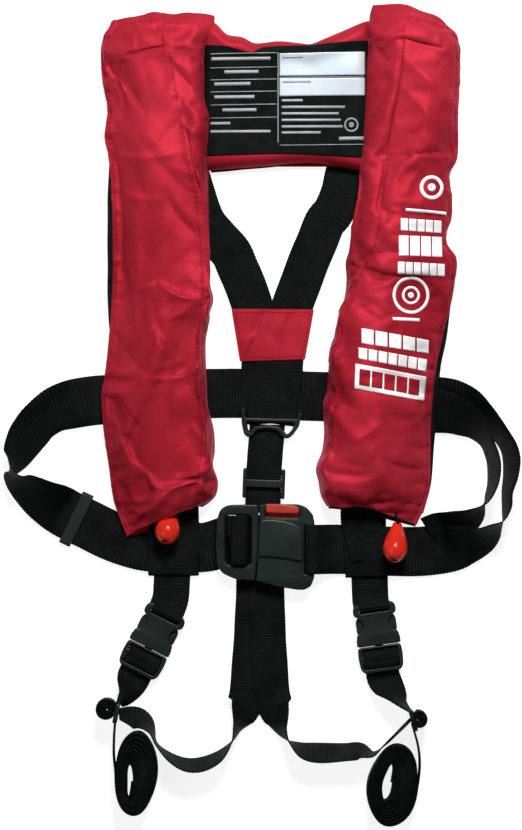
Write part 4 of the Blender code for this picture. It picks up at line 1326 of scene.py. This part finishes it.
def main_buckle_plug(m):
    """Frame with the bar that the left belt wraps, and the tongue that enters the socket."""
    hard = m["plastic"]
    outline = [
        (-32, -89.5), (-1.6, -89), (-2.4, -120), (-3.2, -140), (-5.2, -165.5), (-24.5, -164),
        (-38, -158), (-43.5, -150), (-44.5, -128), (-43.5, -104), (-40, -93.5)]
    slot = [
        (-33, -99.8), (-11, -99.8), (-9, -102), (-9, -147.2), (-11.5, -149.4), (-32, -149.4),
        (-35.5, -145), (-35.5, -102)]
    plug = join([
        moulding("main_plug_frame", fillet(outline, 4), 8.2, 17.0, hard, 1.6, fillet(slot, 2)),
        moulding("main_plug_bar", rounded(-24.5, -155, -17.5, -94, 1), 9.0, 15.6, hard, 1.0),
        moulding("main_plug_tongue", rounded(-8, -147, 25, -112, 2), 10.4, 14.4, hard, 0.8),
    ], "main_buckle_plug_moulding")
    keep(plug, "buckle_plug", "buckle_plastic", "main_buckle_plug")


def main_buckle_socket(m):
    """Two plates with walls between them, open at the left for the tongue, and a raised panel."""
    hard = m["plastic"]
    rim = [
        (46, -92), (52.5, -99.5), (54.5, -112), (54.4, -150), (53.4, -163), (50, -171),
        (43.5, -174.4), (36, -174.2), (18, -171.2), (-4.2, -165.5), (-2.2, -140), (-1.4, -120)]
    whole = [(-0.8, -89), (38.5, -89), *rim]
    notched = [(-0.8, -89), (4.2, -89), (4.8, -102.5), (38.8, -102.5), (39.6, -89.2), *rim]
    web_slot = rounded(43.6, -158.6, 46.7, -109.4, 1.5, 3)
    upper = [(-1.2, -107.4), (41.5, -107.4), (41.5, -111), (-1.8, -111)]
    lower = [(-2.6, -149), (53.0, -149), (52.4, -162.5), (43, -173.5), (22, -171), (-3.4, -164.6)]
    walls = {
        "upper": fillet(upper, 1),
        "lower": fillet(lower, 3),
        "right": rounded(30, -151, 42.5, -108, 1),
        "outer": rounded(47.9, -158, 53.8, -104, 1.5),
    }
    raised = [
        (-1.2, -104), (10, -103.4), (24, -104.8), (36, -108.6), (41.5, -113), (42.6, -127),
        (42.2, -146.5), (24, -143.2), (8, -141.8), (-2.2, -141.6)]
    socket = join([
        moulding("socket_back", fillet(whole, 3.5), 7.0, 10.2, hard, 1.0, web_slot),
        moulding("socket_front", fillet(notched, 2.2), 14.6, 19.0, hard, 1.6, web_slot),
        *(moulding(f"socket_{w}_wall", walls[w], 9.8, 15.4, hard, 0.5) for w in walls),
        moulding("socket_panel", fillet(raised, 3), 17.0, 21.6, hard, 2.2),
    ], "main_buckle_socket_moulding")
    keep(socket, "harness", "buckle_plastic", "main_buckle_socket")


def release_button(m):
    red = m["button"]
    outline = [
        (5.2, -88.4), (20, -88.8), (33, -90.2), (38.6, -92.6), (38.2, -98.4), (20, -98.2),
        (5.6, -97.4)]
    button = join([
        moulding("button_cap", fillet(outline, 2.0), 11.2, 20.4, red, 1.5),
        moulding("button_skirt", rounded(5.6, -102.9, 37.6, -94, 1), 10.6, 14.3, red, 0.6),
    ], "release_button_cap")
    keep(button, "button", "toggle_plastic", "release_button")


def mirrored(right_half):
    """The whole outline of a shape that is alike on both sides of x = 0."""
    return right_half + [(-x, y) for x, y in reversed(right_half)]


def side_socket(side, m):
    """Two plates whose sides are scalloped where the prongs click in, with thin walls between."""
    hard, half = m["plastic"], SIDE_BUCKLE_HALF
    outline = fillet(mirrored([
        (half + 0.6, 0.4), (half + 0.4, 8), (half - 0.4, 12.5), (half - 5.5, 14.5),
        (half - 8.4, 18), (half - 8.6, 22.5), (half - 6.6, 27), (half - 2.5, 30),
        (half + 0.2, 32), (half + 0.6, 36), (half, 39.5), (half - 3, 42.5)]), 2.2)
    slot = rounded(-half + 5.8, 33.5, half - 5.8, 37.5, 1.6, 3)
    end = [(-half + 1, 38.2), (half - 1, 38.2), (half - 3.4, 42), (-half + 3.4, 42)]
    pieces = [
        moulding(f"{side}_socket_front", outline, 8.2, 11.4, hard, 1.2, slot),
        moulding(f"{side}_socket_back", outline, 0.0, 3.0, hard, 1.0, slot),
        moulding(f"{side}_socket_core", rounded(-9, 25, 9, 32.2, 1.2), 2.5, 8.8, hard, 0.4),
        moulding(f"{side}_socket_end", fillet(end, 1), 2.5, 8.8, hard, 0.4),
    ]
    for x in (-21.4, 21.4):
        wall = rounded(x - 0.5, 1.2, x + 0.5, 7.5, 0.3, 2)
        pieces.append(moulding(f"{side}_socket_wall", wall, 2.5, 8.8, hard, 0.3))
    return join(pieces, f"{side}_side_socket_moulding")


def side_plug(side, m):
    """Ladder frame that the leg strap threads, with a tongue between the prongs."""
    hard, half = m["plastic"], SIDE_BUCKLE_HALF
    outline = mirrored([
        (half + 0.6, -0.3), (half + 1.4, -10), (half + 0.4, -22), (half - 3, -26.5)])
    window = [(-half + 3, -2.6), (half - 3, -2.6), (half - 3, -22.4), (-half + 3, -22.4)]
    bar = rounded(-half + 2, -15, half - 2, -11, 1)
    return join([
        moulding(f"{side}_plug_frame", fillet(outline, 3.5), 1.6, 10.4, hard, 1.2, fillet(window, 2)),
        moulding(f"{side}_plug_bar", bar, 3.0, 8.4, hard, 1.0),
        moulding(f"{side}_plug_tongue", rounded(-4, -3, 4, 23, 1.5), 3.6, 7.4, hard, 0.7),
    ], f"{side}_side_plug_moulding")


def side_release(side, place, angle, m):
    """A side-release buckle with the webbing that is threaded through it."""
    leg, web = f"{side}_leg", m["web"]

    def put(obj, body, material_slot, *nodes):
        keep(bake_place(obj, (*place, 0.4), angle), body, material_slot, *nodes)

    socket, plug = side_socket(side, m), side_plug(side, m)
    through = [
        (0, -22, 3.4, 0), (0, -20.4, 7.4, 0), (0, -16.5, 10.6, 0), (0, -10, 11.2, 0),
        (0, -5.6, 9.4, 0), (0, -4.2, 5.6, 0), (0, -8, 2.2, 0)]
    threaded = strap(f"{side}_plug_web", through, 35.8, web, thick=1.4)
    path = flat(ON_FLOOR, (0, -25), (0, -2))
    under = strap(f"{side}_plug_under_web", path, STRAP_WIDTH, web, thick=1.0)
    put(under, leg, "black_webbing")
    put(socket, "harness", "buckle_plastic", f"{side}_side_buckle_socket")
    put(plug, leg, "buckle_plastic", f"{side}_side_buckle_plug")
    put(threaded, leg, "black_webbing")
    arm = [
        (8, 0.6), (12.6, 0.6), (14.5, 8), (19.2, 11.5), (20.3, 16), (20.3, 25), (18.8, 29),
        (14, 30), (11.5, 24), (9.2, 12)]
    for letter, sign in (("a", 1), ("b", -1)):
        name = f"{side}_prong_{letter}"
        outline = fillet([(sign * x, y) for x, y in arm], 1.4)
        prong = moulding(name, outline, 3.2, 7.4, m["plastic"], 1.6)
        put(prong, name, "buckle_plastic", f"{side}_side_buckle_prong_{letter}")
    over = [
        (0, 32, 3.0, 0), (0, 34, 8, 0), (0, 36.4, 12.6, 0), (0, 41, 13.4, 0), (0, 46, 9, 0),
        (0, 51, 4.4, 0)]
    wrap = strap(f"{side}_socket_web", over, 31.0, web, thick=1.4)
    put(wrap, "harness", "black_webbing")


def build_toggle(side, m):
    """Glossy teardrop pull, thin at its cord and round at the end, with a hole bored in it."""
    mouth, direction, scale = {
        "left": ((-88.4, -95.5, 10.0), (-0.17, -0.80, 0.5), 0.95),
        "right": ((136.6, -108.0, 12.5), (-0.1, -0.95, 0.5), 1.08),
    }[side]
    profile = [
        (0.01, 0), (3.6, 0), (4.6, -1), (5.6, -4), (7.2, -8), (9.0, -12.5), (10.6, -17),
        (11.8, -21.5), (12.3, -25.5), (11.9, -29.5), (10.2, -33.5), (7.4, -36.6), (4.8, -38.2),
        (3.8, -38.1), (3.3, -37), (3.4, -22), (0.01, -22)]
    pull = lathe(f"{side}_toggle_pull", [(r, h * scale) for r, h in profile], m["orange"])
    turn = Vector(direction).normalized().to_track_quat("-Z", "Y").to_matrix().to_4x4()
    pull.data.transform(Matrix.Translation(Vector(mouth) * MM) @ turn)
    keep(pull, f"{side}_pull", "toggle_plastic", f"{side}_toggle")


def build_delta_ring(m):
    outline = [
        (-19.5, 6), (-15.8, 6.4), (-14.8, -2.6), (37.2, -3.8), (37.4, 2.4), (41, 2), (38.8, -11),
        (32, -20.5), (27, -24), (22.5, -22.5), (16.5, -15.4), (6.5, -13.4), (-3.5, -15.2),
        (-8, -20.8), (-12, -22.8), (-16.4, -19.6), (-18.8, -9)]
    slot = [
        (-13.4, -6.6), (34, -7.6), (32, -14), (26.8, -19.4), (19, -11.8), (6.5, -9.6), (-6, -11.6),
        (-10.4, -18), (-12.6, -13)]
    ring = moulding(
        "delta_ring_moulding", fillet(outline, 2.2), 2.3, 7.6, m["plastic"], 1.4, fillet(slot, 1.5))
    keep(ring, "harness", "buckle_plastic", "delta_ring")


def build_adjuster(m):
    """Ladder lock: one bar in front and two behind, between its side rails."""
    hard = m["plastic"]
    front = rounded(-19, -4, 19, 4, 1.0, 2)
    pieces = [moulding("adjuster_front_bar", front, 5.2, 8.8, hard, 1.2)]
    for x in (-19.2, 19.2):
        rail = rounded(x - 2.0, -15, x + 2.0, 15, 1.9, 4)
        pieces.append(moulding("adjuster_rail", rail, 0.4, 8.4, hard, 1.4))
    for y in (-12, 12):
        bar = rounded(-19, y - 2.5, 19, y + 2.5, 1.0, 2)
        pieces.append(moulding("adjuster_back_bar", bar, 0.4, 2.0, hard, 0.5))
    adjuster = join(pieces, "crotch_adjuster_moulding")
    keep(bake_place(adjuster, (3.4, -68.5, 0), -2), "adjuster", "buckle_plastic", "crotch_adjuster")


def build_sliders(m):
    for side, centre, angle in (("left", (-143.5, -296), 80), ("right", (152, -304), 105)):
        outline = rounded(-11, -16, 11, 16, 5)
        holes = [rounded(-7.5, 2, 7.5, 12.5, 1.8, 3), rounded(-7.5, -12.5, 7.5, -2, 1.8, 3)]
        slider = moulding(f"{side}_slider_moulding", outline, -2.2, 2.2, m["plastic"], 1.3, *holes)
        slider.data.transform(Matrix.Rotation(radians(90), 4, "X"))
        bake_place(slider, (*centre, 18.0), angle)
        keep(slider, f"{side}_leg", "buckle_plastic", f"{side}_leg_slider")


def build_keeper(m):
    """Elastic band round the left front belt."""
    half, top, bottom = 26.0, 6.0, 1.0
    runs = {
        "top": flat(top, (0, -half + 2), (0, half - 2)),
        "under": flat(bottom, (0, -half + 2), (0, half - 2)),
    }
    for i, s in enumerate((-1, 1)):
        runs[f"end_{i}"] = [
            (0, s * (half - 3), top, 0), (0, s * (half + 0.6), 5.4, 0), (0, s * (half + 1.6), 3.5, 0),
            (0, s * (half + 0.6), 1.5, 0), (0, s * (half - 3), bottom, 0)]
    bands = [
        strap(f"belt_keeper_{run}", runs[run], 12, m["rubber"], thick=1.3, ribs=False)
        for run in runs
    ]
    keeper = join(bands, "belt_keeper_band")
    keep(bake_place(keeper, (-184, -104, 0), -25.3), "keeper", "black_webbing", "belt_keeper")


def dress_inner_parts(m):
    """Materials for the small hard pieces under the covers, which keep their CAD shapes."""
    surfaces = {
        "inflator": "plastic",
        "gas_cylinder": "steel",
        "inflator_lever": "button",
        "oral_tube": "rubber",
        "pull_cord": "web",
    }
    for side in ("left", "right"):
        for piece, surface in surfaces.items():
            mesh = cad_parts[f"{side}_{piece}"].data
            mesh.materials.clear()
            mesh.materials.append(m[surface])
            mesh.shade_smooth()
            mesh.set_sharp_from_angle(angle=radians(35))


def main():
    add_camera()
    add_surroundings()
    m = make_materials()
    build_lobes(m)
    closure_strips(m)
    back_panels(m)
    build_label(build_collar(m), m)
    build_bladders(m)
    build_back_straps(m)
    build_patch(m)
    build_waist_belt(m)
    build_front_loops(m)
    build_leg_straps(m)
    build_tails(m)
    main_buckle_plug(m)
    main_buckle_socket(m)
    release_button(m)
    side_release("left", (-112, -233), -27, m)
    side_release("right", (118.5, -230), 8, m)
    for side in ("left", "right"):
        build_toggle(side, m)
    build_delta_ring(m)
    build_adjuster(m)
    build_sliders(m)
    build_keeper(m)
    dress_inner_parts(m)


main()
